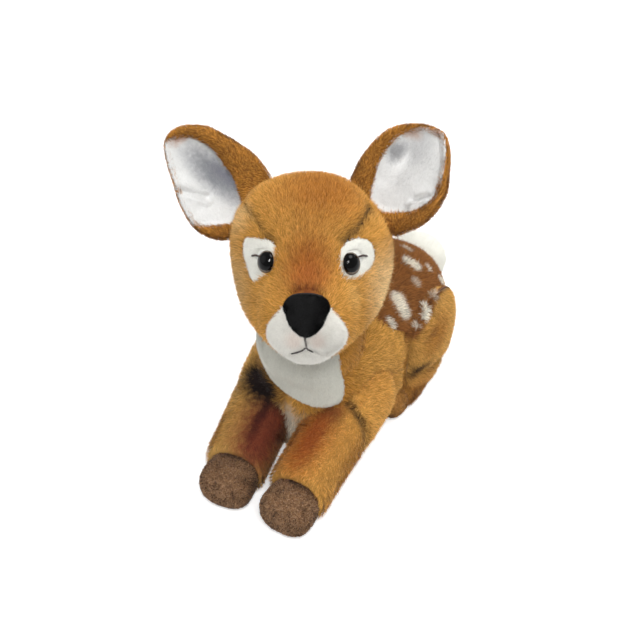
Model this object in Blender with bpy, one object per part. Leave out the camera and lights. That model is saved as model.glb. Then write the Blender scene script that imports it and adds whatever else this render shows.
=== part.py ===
# Plush fawn lying down: sewn covers over stuffing, plastic eyes, limbs that turn at their seams.
# Metres, +Z up. The fawn faces -Y, its left is +X, and the origin is on the floor under its belly.

import math

import bmesh
import bpy
import numpy as np
from mathutils import Matrix, Vector

# Fabric and clearances
COVER_WALL = 0.0020            # plush fabric with its backing
SEAM_GAP = 0.0003              # left between pieces that touch
STUFFING_GAP = 0.0008          # left between the stuffing and its cover
FLOOR_FLAT = 0.0005            # how far the soft undersides are pressed flat
CUT_OVERRUN = 0.0300           # how far a cutting shape runs past what it cuts

# Torso
TORSO_LENGTH = 0.174
TORSO_WIDTH = 0.096
TORSO_HEIGHT = 0.099
CHEST_Y = -0.056
TORSO_AT_SHARES = (0.0, 0.15, 0.30, 0.50, 0.70, 0.86, 1.0)
TORSO_WIDTH_SHARES = (0.86, 0.88, 0.91, 0.96, 1.00, 0.97, 0.88)
TORSO_TOP_SHARES = (0.98, 1.00, 0.95, 0.89, 0.88, 0.84, 0.74)
TORSO_MIDDLE_SHARES = (0.56, 0.52, 0.47, 0.44, 0.43, 0.43, 0.44)
TORSO_FULLNESS_ABOVE = 2.2     # 2 is an ellipse, more is squarer
TORSO_FULLNESS_BELOW = 2.7
TORSO_SIDE_ROUNDING = 3.0      # how late each end rounds off, more is later
TORSO_TOP_ROUNDING = 3.6
TORSO_BELLY_ROUNDING = 6.0
TORSO_SIDES = 22
TORSO_STATIONS = 13

# Chocolate back panel, seen from above, and off-white bib, seen from the front
BACK_PANEL_WIDTH = 0.082
BACK_PANEL_FRONT_Y = 0.004
BACK_PANEL_REAR_Y = 0.112
BACK_PANEL_LOW_Z = 0.056
BIB_WIDTH = 0.060
BIB_LOW_Z = 0.032
BIB_HIGH_Z = 0.104
BIB_DEPTH = 0.032
SEAM_LINE_FULLNESS = 2.4
SEAM_LINE_SIDES = 20

# Pellet bag in the belly
BAG_LENGTH = 0.060
BAG_WIDTH = 0.050
BAG_HEIGHT = 0.016
BAG_Y = 0.045

# Neck, a stuffed stalk whose ball carries the head
NECK_Y = -0.027
NECK_BALL_Z = 0.110
NECK_BALL_RADIUS = 0.028
NECK_STALK_RADIUS = 0.0235
NECK_COLLAR_RADIUS = 0.031
NECK_SEAT_Z = 0.078
NECK_COLLAR_Z = 0.090
NECK_OPENING_RADIUS = 0.012
NECK_SIDES = 18
NECK_BALL_ROWS = 6
OPENING_SIDES = 11
OPENING_TURN_DEG = 4.0
EYE_SIDES = 14
WASHER_SIDES = 12

# Head, measured from the middle of its cranium
HEAD_LENGTH = 0.116
HEAD_BACK = 0.047              # from the cranium's middle to the back of the head
HEAD_WIDTH = 0.098
HEAD_HEIGHT = 0.098
HEAD_TURN_DEG = 27.0
HEAD_TILT_DEG = 16.0
HEAD_ABOVE_BALL = 0.036
HEAD_AHEAD_OF_BALL = 0.002
HEAD_AT_SHARES = (0.0, 0.12, 0.26, 0.40, 0.50, 0.60, 0.70, 0.80, 0.90, 1.0)
HEAD_WIDTH_SHARES = (0.98, 0.99, 1.00, 1.00, 0.985, 0.91, 0.78, 0.65, 0.65, 0.68)
HEAD_MIDDLE_SHARES = (0.04, 0.04, 0.04, 0.03, 0.00, -0.05, -0.11, -0.17, -0.18, -0.17)
HEAD_UP_SHARES = (0.42, 0.44, 0.48, 0.495, 0.485, 0.435, 0.36, 0.31, 0.29, 0.28)
HEAD_DOWN_SHARES = (0.42, 0.43, 0.44, 0.45, 0.45, 0.44, 0.40, 0.355, 0.325, 0.31)
HEAD_FULLNESS = 2.15
HEAD_ROUNDING = 2.6
HEAD_NOSE_SHARE = 1.0
FACE_BACK_SHARE = 0.5
HEAD_SIDES = 22
HEAD_STATIONS = 14

# Face, across and up from the cranium's middle
EYE_X = 0.0255
EYE_Z = 0.0115
EYE_RADIUS = 0.0065
EYE_PROUD = 0.0042
EYE_SUNK = 0.0008
EYE_STEM_RADIUS = 0.0016
EYE_STEM_LENGTH = 0.0100
WASHER_RADIUS = 0.0070
WASHER_THICKNESS = 0.0012
PATCH_WIDTH = 0.0180
PATCH_HEIGHT = 0.0225
PATCH_OUTLINE_SHARES = ((-0.46, 0.46), (0.30, 0.50), (0.50, 0.30), (0.42, -0.05), (0.22, -0.42),
                        (-0.05, -0.50), (-0.32, -0.30), (-0.50, 0.10))
PATCH_OUTWARD = 0.0035
PATCH_DOWN = 0.0020
NOSE_WIDTH = 0.0290
NOSE_HEIGHT = 0.0260
NOSE_THICKNESS = 0.0055
NOSE_Z = -0.0085
NOSE_OUTLINE_SHARES = ((0.50, 0.32), (0.36, 0.47), (0.0, 0.50), (-0.36, 0.47), (-0.50, 0.32),
                       (-0.46, 0.06), (-0.26, -0.26), (0.0, -0.50), (0.26, -0.26), (0.46, 0.06))
NOSE_LAYER_SHARES = ((0.0, 0.90), (0.35, 1.0), (0.68, 0.93), (0.90, 0.72), (1.0, 0.40))
MUZZLE_WIDTH = 0.054
MUZZLE_LENGTH = 0.050
MUZZLE_HEIGHT = 0.050
MUZZLE_Z = -0.0245
MUZZLE_SETBACK = 0.008
STITCH_THICKNESS = 0.0008
STITCH_WIDTH = 0.0012
MOUTH_DROP = 0.0065
MOUTH_SPREAD = 0.0075
MOUTH_FALL = 0.0045
LASH_LENGTH = 0.0075
LASH_OUTWARD = 0.0100
LASH_UP = 0.0015

# Ears, each a leaf that stands on the head's seam
EAR_LENGTH = 0.063
EAR_WIDTH = 0.056
EAR_WALL = 0.0030
EAR_CUP = 0.0090
EAR_ROOT_BACK = 0.008
EAR_DEPTH = 0.0012
EAR_ROOT_DEG = 57.0
EAR_SPREAD_DEG = (38.0, 50.0)   # its left, its right
EAR_BACKWARD_DEG = 8.0
EAR_TWIST_DEG = (36.0, 24.0)
EAR_OUTLINE_SHARES = ((0.0, 0.66), (0.12, 0.84), (0.30, 0.98), (0.46, 1.0), (0.64, 0.93), (0.80, 0.75),
                      (0.92, 0.50), (1.0, 0.18))
LINING_WALL = 0.0014
LINING_SHARE = 0.84
LINING_START_SHARE = 0.10
LINING_END_SHARE = 0.93
EAR_ROWS = 8
EAR_COLUMNS = 7

# Front legs, each with a ball at the shoulder
SHOULDER_X = 0.0280
SHOULDER_Y = -0.014
SHOULDER_Z = 0.040
SHOULDER_RADIUS = 0.0235
FRONT_LEG_RADIUS = 0.0207
FRONT_CUFF_RADIUS = 0.0195
CUFF_HEIGHT_SHARE = 0.95
FRONT_LEG_REACH = 0.103        # shoulder to toe along the floor
FRONT_HOOF_LENGTH = 0.0225
FRONT_HOOF_RADIUS = 0.0185
FRONT_HOOF_HEIGHT_SHARE = 0.82
FRONT_LEFT_YAW_DEG = -1.0
FRONT_RIGHT_YAW_DEG = -6.5
FRONT_OPENING_RADIUS = 0.010
LEG_SIDES = 14
LIMB_FULLNESS = 2.2

# Haunches, each a lens sewn to the torso's side, and the folded hind legs under them
HAUNCH_Y = 0.058
HAUNCH_RADIUS = 0.038
HAUNCH_INNER_X = 0.038
HAUNCH_OUTER_X = 0.0545
HAUNCH_PROFILE_SHARES = ((0.0, 0.92), (0.22, 0.99), (0.45, 1.0), (0.66, 0.86), (0.82, 0.66),
                         (0.94, 0.40), (1.0, 0.0))
HAUNCH_SIDES = 20
HAUNCH_OPENING_RADIUS = 0.012
HIND_LEG_X = 0.0385
HIND_LEG_RADIUS = 0.0115
HIND_LEG_FRONT_Y = 0.024
HIND_LEG_REAR_Y = 0.052
HIND_HOOF_LENGTH = 0.020
HIND_HOOF_RADIUS = 0.0100
HIP_BEHIND_HAUNCH_SHARE = 0.92

# Tail puff
TAIL_Y = 0.1135
TAIL_Z = 0.036
TAIL_ROOT_RADIUS = 0.011
TAIL_LENGTH = 0.0445
TAIL_RADIUS = 0.0195
TAIL_RISE_DEG = 9.0
TAIL_PUFF_SHARES = ((0.14, 0.62), (0.30, 0.88), (0.50, 1.0), (0.72, 0.90), (0.88, 0.64), (0.97, 0.32))
TAIL_SIDES = 12

# How far each seam lets its piece turn, in degrees from the pose at rest
NECK_TURN_RANGE = (-55.0, 18.0)
HEAD_NOD_RANGE = (-12.0, 14.0)
EAR_RANGE = (-20.0, 30.0)
FRONT_LEG_RANGE = (-2.0, 30.0)
HIND_LEG_RANGE = (0.0, 24.0)
TAIL_RANGE = (-15.0, 25.0)
SWEEP_STEPS = 5
ROOM_SPACINGS_DEG = (24.0, 16.0, 11.0)
LEG_ROOM_FACETS = 60
TAIL_ROOM_FACETS = 40
BAG_ROOM_FACETS = 20
EAR_ROOM_FACETS = 24
NECK_ROOM_FACETS = 50

MATERIALS = {
    "brown_plush": ((0.42, 0.20, 0.065), 0.95, 0.0),
    "spotted_plush": ((0.24, 0.105, 0.045), 0.95, 0.0),
    "white_plush": ((0.72, 0.70, 0.60), 0.95, 0.0),
    "ear_lining_plush": ((0.74, 0.73, 0.70), 0.95, 0.0),
    "hoof_plush": ((0.16, 0.09, 0.05), 0.95, 0.0),
    "nose_velvet": ((0.012, 0.011, 0.011), 0.85, 0.0),
    "black_thread": ((0.02, 0.015, 0.012), 0.80, 0.0),
    "eye_plastic": ((0.012, 0.009, 0.008), 0.12, 0.0),
    "washer_plastic": ((0.75, 0.75, 0.73), 0.45, 0.0),
    "stuffing": ((0.80, 0.80, 0.78), 0.95, 0.0),
    "bag_cloth": ((0.55, 0.52, 0.47), 0.90, 0.0),
}


def clear_scene():
    for thing in list(bpy.data.objects):
        bpy.data.objects.remove(thing, do_unlink=True)


def material(name):
    found = bpy.data.materials.get(name)
    if found:
        return found
    colour, roughness, metallic = MATERIALS[name]
    made = bpy.data.materials.new(name)
    made.use_nodes = True
    shader = made.node_tree.nodes["Principled BSDF"]
    shader.inputs["Base Color"].default_value = (*colour, 1.0)
    shader.inputs["Roughness"].default_value = roughness
    shader.inputs["Metallic"].default_value = metallic
    made.diffuse_color = (*colour, 1.0)
    return made


# A form is a pair: an array of points and a list of faces, closed, with the faces pointing out

def vertex_normals(points, faces):
    normals = np.zeros_like(points)
    for face in faces:
        corners = points[list(face)]
        ahead = np.roll(corners, -1, axis=0)
        normal = np.cross(corners, ahead).sum(axis=0)
        for index in face:
            normals[index] += normal
    lengths = np.linalg.norm(normals, axis=1)
    return normals / lengths[:, None]


def volume(points, faces):
    total = 0.0
    for face in faces:
        for i in range(1, len(face) - 1):
            a, b, c = points[face[0]], points[face[i]], points[face[i + 1]]
            total += np.dot(a, np.cross(b, c)) / 6
    return total


def outward(points, faces):
    points = np.array(points, dtype=float)
    if volume(points, faces) < 0:
        faces = [tuple(reversed(face)) for face in faces]
    return points, [tuple(face) for face in faces]


def grown(form, distance):
    points, faces = form
    return points + vertex_normals(points, faces) * distance, faces


def moved(form, matrix):
    points, faces = form
    placed = np.array([tuple(matrix @ Vector(point)) for point in points])
    return outward(placed, faces)


def rings_form(rings, first_tip, last_tip):
    sides = len(rings[0])
    points = [point for ring in rings for point in ring] + [first_tip, last_tip]
    faces = []
    for r in range(len(rings) - 1):
        for i in range(sides):
            j = (i + 1) % sides
            faces.append((r * sides + i, r * sides + j, (r + 1) * sides + j, (r + 1) * sides + i))
    first = len(rings) * sides
    last = first + 1
    base = (len(rings) - 1) * sides
    for i in range(sides):
        j = (i + 1) % sides
        faces.append((j, i, first))
        faces.append((base + i, base + j, last))
    return outward(points, faces)


def prism_form(outline, depth_from, depth_to):
    # The outline lies in x and z, and the prism runs along y
    near = [(x, depth_from, z) for x, z in outline]
    far = [(x, depth_to, z) for x, z in outline]
    count = len(outline)
    faces = [tuple(range(count)), tuple(range(2 * count - 1, count - 1, -1))]
    for i in range(count):
        j = (i + 1) % count
        faces.append((i, count + i, count + j, j))
    return outward(near + far, faces)


def box_form(low, high):
    outline = [(low[0], low[2]), (high[0], low[2]), (high[0], high[2]), (low[0], high[2])]
    return prism_form(outline, low[1], high[1])


def turned_form(profile, sides):
    # The profile gives radius and height, and turns about z
    start = 1 if profile[0][0] == 0 else 0
    end = len(profile) - 1 if profile[-1][0] == 0 else len(profile)
    rings = []
    for radius, height in profile[start:end]:
        ring = []
        for i in range(sides):
            angle = 2 * math.pi * i / sides
            ring.append((radius * math.cos(angle), radius * math.sin(angle), height))
        rings.append(ring)
    return rings_form(rings, (0, 0, profile[0][1]), (0, 0, profile[-1][1]))


def opening_form(radius, low, high):
    # A round hole's cutter about z, turned so that its corners miss the seams of what it cuts
    hole = turned_form([(0, low), (radius, low), (radius, high), (0, high)], OPENING_SIDES)
    return moved(hole, Matrix.Rotation(math.radians(OPENING_TURN_DEG), 4, "Z"))


def ellipsoid_form(centre, radii, sides=20, rows=10):
    profile = []
    for i in range(rows + 1):
        angle = math.pi * i / rows
        reach = 0 if i in (0, rows) else math.sin(angle)
        profile.append((reach, -math.cos(angle)))
    points, faces = turned_form(profile, sides)
    return points * np.array(radii) + np.array(centre), faces


def hull_form(points):
    mesh = bmesh.new()
    for point in points:
        mesh.verts.new(point)
    bmesh.ops.remove_doubles(mesh, verts=mesh.verts, dist=SEAM_GAP / 10)
    result = bmesh.ops.convex_hull(mesh, input=mesh.verts)
    unused = result["geom_interior"] + result["geom_unused"]
    spare = {v for v in unused if isinstance(v, bmesh.types.BMVert)}
    bmesh.ops.delete(mesh, geom=list(spare), context="VERTS")
    bmesh.ops.dissolve_limit(mesh, angle_limit=math.radians(0.5), verts=mesh.verts, edges=mesh.edges)
    mesh.verts.index_update()
    hull_points = [tuple(v.co) for v in mesh.verts]
    faces = [tuple(v.index for v in face.verts) for face in mesh.faces]
    mesh.free()
    return outward(hull_points, faces)


def room_directions(hull, count):
    # The six along the axes, then the hull's largest facets that point well apart from those taken
    points, faces = hull
    found = [np.array(axis, dtype=float) for axis in ((1, 0, 0), (0, 1, 0), (0, 0, 1))]
    found += [-axis for axis in found]
    areas = []
    for face in faces:
        corners = points[list(face)]
        normal = np.cross(corners, np.roll(corners, -1, axis=0)).sum(axis=0)
        areas.append((-np.linalg.norm(normal), tuple(np.round(normal / np.linalg.norm(normal), 6))))
    for spacing_deg in ROOM_SPACINGS_DEG:
        limit = math.cos(math.radians(spacing_deg))
        for _, normal in sorted(areas):
            if len(found) < count and all(np.dot(normal, taken) < limit for taken in found):
                found.append(np.array(normal))
    return np.array(found)


def room_form(points, facets):
    # A faceted block just outside a cloud of points: each facet touches it
    middle = points.mean(axis=0)
    directions = room_directions(hull_form(points), facets)
    reach = (directions @ (points - middle).T).max(axis=1)
    unit = reach.max()
    dual = hull_form(directions / (reach / unit)[:, None])
    corners = []
    for face in dual[1]:
        plane = dual[0][list(face[:3])]
        corners.append(np.linalg.solve(plane, np.ones(3)) * unit + middle)
    return hull_form(corners)


def turn_about(pivot, axis, degrees):
    away = Matrix.Translation(Vector(pivot))
    back = Matrix.Translation(-Vector(pivot))
    return away @ Matrix.Rotation(math.radians(degrees), 4, Vector(axis)) @ back


def swept_room(form, pivot, axis, limits, facets):
    angles = np.linspace(limits[0], limits[1], SWEEP_STEPS)
    swept = [moved(form, turn_about(pivot, axis, angle))[0] for angle in angles]
    return room_form(np.vstack(swept), facets)


def smooth(at_shares, value_shares, t):
    # A curve through the table's values that never overshoots them
    x = np.array(at_shares)
    y = np.array(value_shares)
    step = np.diff(x)
    slope = np.diff(y) / step
    tangent = np.zeros(len(x))
    for i in range(1, len(x) - 1):
        if slope[i - 1] * slope[i] > 0:
            tangent[i] = 2 * slope[i - 1] * slope[i] / (slope[i - 1] + slope[i])
    tangent[0] = slope[0]
    tangent[-1] = slope[-1]
    i = int(min(max(np.searchsorted(x, t) - 1, 0), len(x) - 2))
    s = (t - x[i]) / step[i]
    blend = (2 * s ** 3 - 3 * s ** 2 + 1) * y[i] + (s ** 3 - 2 * s ** 2 + s) * step[i] * tangent[i]
    return blend + (3 * s ** 2 - 2 * s ** 3) * y[i + 1] + (s ** 3 - s ** 2) * step[i] * tangent[i + 1]


def bulge(t, power):
    # Rounds off both ends of a form: 0 at its tips, 1 in its middle
    return max(0.0, 1 - abs(2 * t - 1) ** power) ** (1 / power)


def oval(angle, half_width, up, down, power_up, power_down):
    c, s = math.cos(angle), math.sin(angle)
    power = power_up if s >= 0 else power_down
    x = half_width * math.copysign(abs(c) ** (2 / power), c)
    z = (up if s >= 0 else down) * math.copysign(abs(s) ** (2 / power), s)
    return x, z


def station_shares(count):
    # Stations lie closer together near both tips
    return [0.5 - 0.5 * math.cos(math.pi * (i + 0.6) / (count + 0.2)) for i in range(count)]


# Forms of the larger pieces

def torso_section(t):
    half_width = TORSO_WIDTH / 2 * smooth(TORSO_AT_SHARES, TORSO_WIDTH_SHARES, t)
    half_width *= bulge(t, TORSO_SIDE_ROUNDING)
    middle = TORSO_HEIGHT * smooth(TORSO_AT_SHARES, TORSO_MIDDLE_SHARES, t)
    top = TORSO_HEIGHT * smooth(TORSO_AT_SHARES, TORSO_TOP_SHARES, t)
    up = (top - middle) * bulge(t, TORSO_TOP_ROUNDING)
    down = (middle + FLOOR_FLAT) * bulge(t, TORSO_BELLY_ROUNDING)
    return half_width, middle, up, down


def torso_form():
    rings = []
    for t in station_shares(TORSO_STATIONS):
        half_width, middle, up, down = torso_section(t)
        ring = []
        for i in range(TORSO_SIDES):
            angle = 2 * math.pi * i / TORSO_SIDES
            x, z = oval(angle, half_width, up, down, TORSO_FULLNESS_ABOVE, TORSO_FULLNESS_BELOW)
            ring.append((x, CHEST_Y + t * TORSO_LENGTH, middle + z))
        rings.append(ring)
    first = (0, CHEST_Y, TORSO_HEIGHT * TORSO_MIDDLE_SHARES[0])
    last = (0, CHEST_Y + TORSO_LENGTH, TORSO_HEIGHT * TORSO_MIDDLE_SHARES[-1])
    return rings_form(rings, first, last)


def head_section(t):
    round_off = bulge(t, HEAD_ROUNDING)
    half_width = HEAD_WIDTH / 2 * smooth(HEAD_AT_SHARES, HEAD_WIDTH_SHARES, t) * round_off
    middle = HEAD_HEIGHT * smooth(HEAD_AT_SHARES, HEAD_MIDDLE_SHARES, t)
    up = HEAD_HEIGHT * smooth(HEAD_AT_SHARES, HEAD_UP_SHARES, t) * round_off
    down = HEAD_HEIGHT * smooth(HEAD_AT_SHARES, HEAD_DOWN_SHARES, t) * round_off
    return half_width, middle, up, down


def head_y(t):
    return HEAD_BACK - t * HEAD_LENGTH


def head_form():
    rings = []
    for t in station_shares(HEAD_STATIONS):
        half_width, middle, up, down = head_section(t)
        ring = []
        for i in range(HEAD_SIDES):
            x, z = oval(2 * math.pi * i / HEAD_SIDES, half_width, up, down, HEAD_FULLNESS, HEAD_FULLNESS)
            ring.append((x, head_y(t), middle + z))
        rings.append(ring)
    first = (0, head_y(0), HEAD_HEIGHT * HEAD_MIDDLE_SHARES[0])
    last = (0, head_y(1), HEAD_HEIGHT * HEAD_MIDDLE_SHARES[-1])
    return rings_form(rings, first, last)


def head_surface(x, z, front=True):
    # The point of the head's surface before or behind a place given across and up, and its outward direction
    def fullness(y_share, x_at, z_at):
        half_width, middle, up, down = head_section(y_share)
        height = up if z_at >= middle else down
        if half_width <= 0 or height <= 0:
            return math.inf
        return (abs(x_at) / half_width) ** HEAD_FULLNESS + (abs(z_at - middle) / height) ** HEAD_FULLNESS

    inside, outside = (0.45, 1.0) if front else (0.45, 0.0)
    for _ in range(40):
        t = (inside + outside) / 2
        if fullness(t, x, z) < 1:
            inside = t
        else:
            outside = t
    step = HEAD_WIDTH / 1000
    gradient_x = fullness(inside, x + step, z) - fullness(inside, x - step, z)
    gradient_z = fullness(inside, x, z + step) - fullness(inside, x, z - step)
    gradient_y = fullness(inside - step / HEAD_LENGTH, x, z) - fullness(inside + step / HEAD_LENGTH, x, z)
    return Vector((x, head_y(inside), z)), Vector((gradient_x, gradient_y, gradient_z)).normalized()


def limb_form(stations, sides):
    # Each station gives a centre, an aim, a half width and a half height; the limb ends in round tips
    rings = []
    for centre, aim, half_width, half_height in stations:
        aim = Vector(aim).normalized()
        across = aim.cross(Vector((0, 0, 1))).normalized()
        upward = across.cross(aim)
        ring = []
        for i in range(sides):
            angle = 2 * math.pi * i / sides
            x, z = oval(angle, half_width, half_height, half_height, LIMB_FULLNESS, LIMB_FULLNESS)
            ring.append(tuple(Vector(centre) + across * x + upward * z))
        rings.append(ring)
    first = np.mean(rings[0], axis=0)
    last = np.mean(rings[-1], axis=0)
    return rings_form(rings, tuple(first), tuple(last))


def front_leg_form():
    # Along -Y from the shoulder ball, sloping down to a hoof on the floor
    hoof_middle_z = FRONT_HOOF_RADIUS * FRONT_HOOF_HEIGHT_SHARE - FLOOR_FLAT
    cuff_z = hoof_middle_z + FRONT_HOOF_RADIUS / 6
    aim = Vector((0, -FRONT_LEG_REACH + FRONT_HOOF_LENGTH, cuff_z - SHOULDER_Z))
    straight = aim.normalized()
    stations = []
    for angle_share in (0.10, 0.25, 0.45, 0.70, 1.0):
        angle = angle_share * math.pi / 2
        back = straight * (-SHOULDER_RADIUS * math.cos(angle))
        radius = SHOULDER_RADIUS * math.sin(angle)
        stations.append((back, straight, radius, radius))
    for along_share, radius_share in ((0.22, 0.88), (0.42, 0.45), (0.60, 0.15), (0.80, 0.0)):
        radius = FRONT_LEG_RADIUS + (SHOULDER_RADIUS - FRONT_LEG_RADIUS) * radius_share
        stations.append((aim * along_share, straight, radius, radius))
    levelled = straight.lerp(Vector((0, -1, 0)), 0.5)
    stations.append((aim, levelled, FRONT_CUFF_RADIUS, FRONT_CUFF_RADIUS * CUFF_HEIGHT_SHARE))
    toe = Vector((0, -FRONT_LEG_REACH, hoof_middle_z - SHOULDER_Z))
    for back_share, size_share in ((0.82, 1.0), (0.50, 1.02), (0.24, 0.92), (0.08, 0.68), (0.0, 0.36)):
        centre = toe + Vector((0, FRONT_HOOF_LENGTH * back_share, 0))
        high = FRONT_HOOF_RADIUS * FRONT_HOOF_HEIGHT_SHARE * size_share
        stations.append((centre, Vector((0, -1, 0)), FRONT_HOOF_RADIUS * size_share, high))
    return limb_form(stations, LEG_SIDES)


def haunch_form():
    # A lens that turns about x, from its flat inner side to its bulging outer side
    depth = HAUNCH_OUTER_X - HAUNCH_INNER_X
    profile = [(0, HAUNCH_INNER_X)]
    for along, radius in HAUNCH_PROFILE_SHARES[:-1]:
        profile.append((HAUNCH_RADIUS * radius, HAUNCH_INNER_X + depth * along))
    profile += [(0, HAUNCH_OUTER_X)]
    lens = turned_form(profile, HAUNCH_SIDES)
    lay = Matrix.Rotation(math.radians(90), 4, "Y")
    return moved(lens, Matrix.Translation((0, HAUNCH_Y, HAUNCH_RADIUS - FLOOR_FLAT)) @ lay)


def hind_leg_form():
    middle_z = HIND_LEG_RADIUS - FLOOR_FLAT
    back = Vector((0, -1, 0))
    length = HIND_LEG_REAR_Y - HIND_LEG_FRONT_Y
    stations = []
    for along_share, size_share in ((0.0, 0.45), (0.10, 0.85), (0.30, 1.0), (0.60, 1.0), (1.0, 0.86)):
        y = HIND_LEG_REAR_Y - length * along_share
        radius = HIND_LEG_RADIUS * size_share
        stations.append(((HIND_LEG_X, y, middle_z), back, radius, radius))
    hoof_z = HIND_HOOF_RADIUS - FLOOR_FLAT
    for along_share, size_share in ((0.15, 1.0), (0.55, 1.0), (0.85, 0.80), (0.97, 0.50)):
        y = HIND_LEG_FRONT_Y - HIND_HOOF_LENGTH * along_share
        radius = HIND_HOOF_RADIUS * size_share
        stations.append(((HIND_LEG_X, y, hoof_z), back, radius, radius))
    return limb_form(stations, LEG_SIDES)


def tail_form():
    aim = Vector((0, math.cos(math.radians(TAIL_RISE_DEG)), math.sin(math.radians(TAIL_RISE_DEG))))
    stations = []
    for angle_share in (0.2, 0.5, 0.8):
        angle = angle_share * math.pi / 2
        radius = TAIL_ROOT_RADIUS * math.sin(angle)
        stations.append((aim * (-TAIL_ROOT_RADIUS * math.cos(angle)), aim, radius, radius))
    for along_share, size_share in TAIL_PUFF_SHARES:
        radius = TAIL_RADIUS * size_share
        stations.append((aim * (TAIL_LENGTH * along_share), aim, radius, radius))
    return limb_form(stations, TAIL_SIDES)


def neck_form():
    ball = []
    for i in range(NECK_BALL_ROWS):
        angle = math.radians(180 - 122 * i / (NECK_BALL_ROWS - 1))
        ball.append((NECK_BALL_RADIUS * math.sin(angle), NECK_BALL_Z - NECK_BALL_RADIUS * math.cos(angle)))
    ball[0] = (0, NECK_BALL_Z + NECK_BALL_RADIUS)
    waist = NECK_BALL_Z - NECK_BALL_RADIUS * math.cos(math.radians(58))
    profile = ball + [(NECK_STALK_RADIUS, waist), (NECK_COLLAR_RADIUS, NECK_COLLAR_Z)]
    profile += [(NECK_COLLAR_RADIUS, NECK_SEAT_Z), (0, NECK_SEAT_Z)]
    return moved(turned_form(profile, NECK_SIDES), Matrix.Translation((0, NECK_Y, 0)))


def ear_sheet(wall, from_share, to_share, width_share, offset):
    # A cupped leaf: x across, z from root to tip, y through its thickness, hollow side to -y
    at = [row[0] for row in EAR_OUTLINE_SHARES]
    wide = [row[1] for row in EAR_OUTLINE_SHARES]
    front, back = [], []
    for r in range(EAR_ROWS):
        t = from_share + (to_share - from_share) * r / (EAR_ROWS - 1)
        half = EAR_WIDTH / 2 * smooth(at, wide, t) * width_share
        full = EAR_WIDTH / 2
        for c in range(EAR_COLUMNS):
            s = -1 + 2 * c / (EAR_COLUMNS - 1)
            x = half * math.sin(s * math.pi / 2)
            cup = -EAR_CUP * (x / full) ** 2 * (1 - t / 2)
            edge = math.cos(s * math.pi / 2) ** 0.5 if abs(s) < 1 else 0.0
            thin = 0.3 + 0.7 * edge
            z = -EAR_DEPTH + (EAR_LENGTH + EAR_DEPTH) * t
            front.append((x, cup + offset - wall / 2 * thin, z))
            back.append((x, cup + offset + wall / 2 * thin, z))
    points = front + back
    count = EAR_ROWS * EAR_COLUMNS
    faces = []
    for r in range(EAR_ROWS - 1):
        for c in range(EAR_COLUMNS - 1):
            a = r * EAR_COLUMNS + c
            faces.append((a, a + 1, a + 1 + EAR_COLUMNS, a + EAR_COLUMNS))
            b = count + a
            faces.append((b, b + EAR_COLUMNS, b + 1 + EAR_COLUMNS, b + 1))
    for r in range(EAR_ROWS - 1):
        for c in (0, EAR_COLUMNS - 1):
            a = r * EAR_COLUMNS + c
            side = (a, a + EAR_COLUMNS, count + a + EAR_COLUMNS, count + a)
            faces.append(side if c == 0 else tuple(reversed(side)))
    for r in (0, EAR_ROWS - 1):
        for c in range(EAR_COLUMNS - 1):
            a = r * EAR_COLUMNS + c
            end = (a + 1, a, count + a, count + a + 1)
            faces.append(end if r == 0 else tuple(reversed(end)))
    return outward(points, faces)


# Objects

def new_object(name, form, finish, parent=None, smooth_faces=True):
    points, faces = form
    mesh = bpy.data.meshes.new(name)
    mesh.from_pydata([tuple(point) for point in points], [], faces)
    mesh.update()
    thing = bpy.data.objects.new(name, mesh)
    bpy.context.scene.collection.objects.link(thing)
    mesh.materials.append(material(finish))
    if smooth_faces:
        mesh.shade_smooth()
        mesh.set_sharp_from_angle(angle=math.radians(50))
    thing.parent = parent
    return thing


def cutter(form, parent=None):
    thing = new_object("cut_" + str(len(bpy.data.objects)), form, "stuffing", parent)
    thing.hide_render = True
    thing.display_type = "WIRE"
    return thing


def cut(thing, tools, operation="DIFFERENCE", solver="EXACT"):
    for tool in tools:
        step = thing.modifiers.new("cut", "BOOLEAN")
        step.operation = operation
        step.object = tool
        step.solver = solver


def pivot(name, place, rotation=(0, 0, 0), parent=None):
    empty = bpy.data.objects.new(name, None)
    bpy.context.scene.collection.objects.link(empty)
    empty.location = place
    empty.rotation_euler = rotation
    empty.parent = parent
    return empty


def mirrored(form):
    points, faces = form
    flipped = points * np.array((-1, 1, 1))
    return outward(flipped, faces)


def oval_outline(width, low, high):
    outline = []
    half_height = (high - low) / 2
    for i in range(SEAM_LINE_SIDES):
        angle = 2 * math.pi * i / SEAM_LINE_SIDES
        x, z = oval(angle, width / 2, half_height, half_height, SEAM_LINE_FULLNESS, SEAM_LINE_FULLNESS)
        outline.append((x, (low + high) / 2 + z))
    return outline


def scaled_outline(shares, width, height, centre, flip=1):
    return [(centre[0] + flip * x * width, centre[1] + z * height) for x, z in shares]


def outset_outline(outline, distance):
    # Each corner moves out along its two sides' shared direction
    points = [Vector(point) for point in outline]
    area = sum(a.x * b.y - b.x * a.y for a, b in zip(points, points[1:] + points[:1]))
    sign = 1 if area > 0 else -1
    moved_points = []
    for i, point in enumerate(points):
        before = (point - points[i - 1]).normalized()
        after = (points[(i + 1) % len(points)] - point).normalized()
        side = Vector((before.y + after.y, -before.x - after.x)).normalized() * sign
        lean = max(0.3, side.dot(Vector((after.y, -after.x)) * sign))
        moved_points.append(tuple(point + side * (distance / lean)))
    return moved_points


def floor_box():
    reach = TORSO_LENGTH + CUT_OVERRUN
    return box_form((-reach, -reach, -CUT_OVERRUN), (reach, reach, 0))


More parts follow.
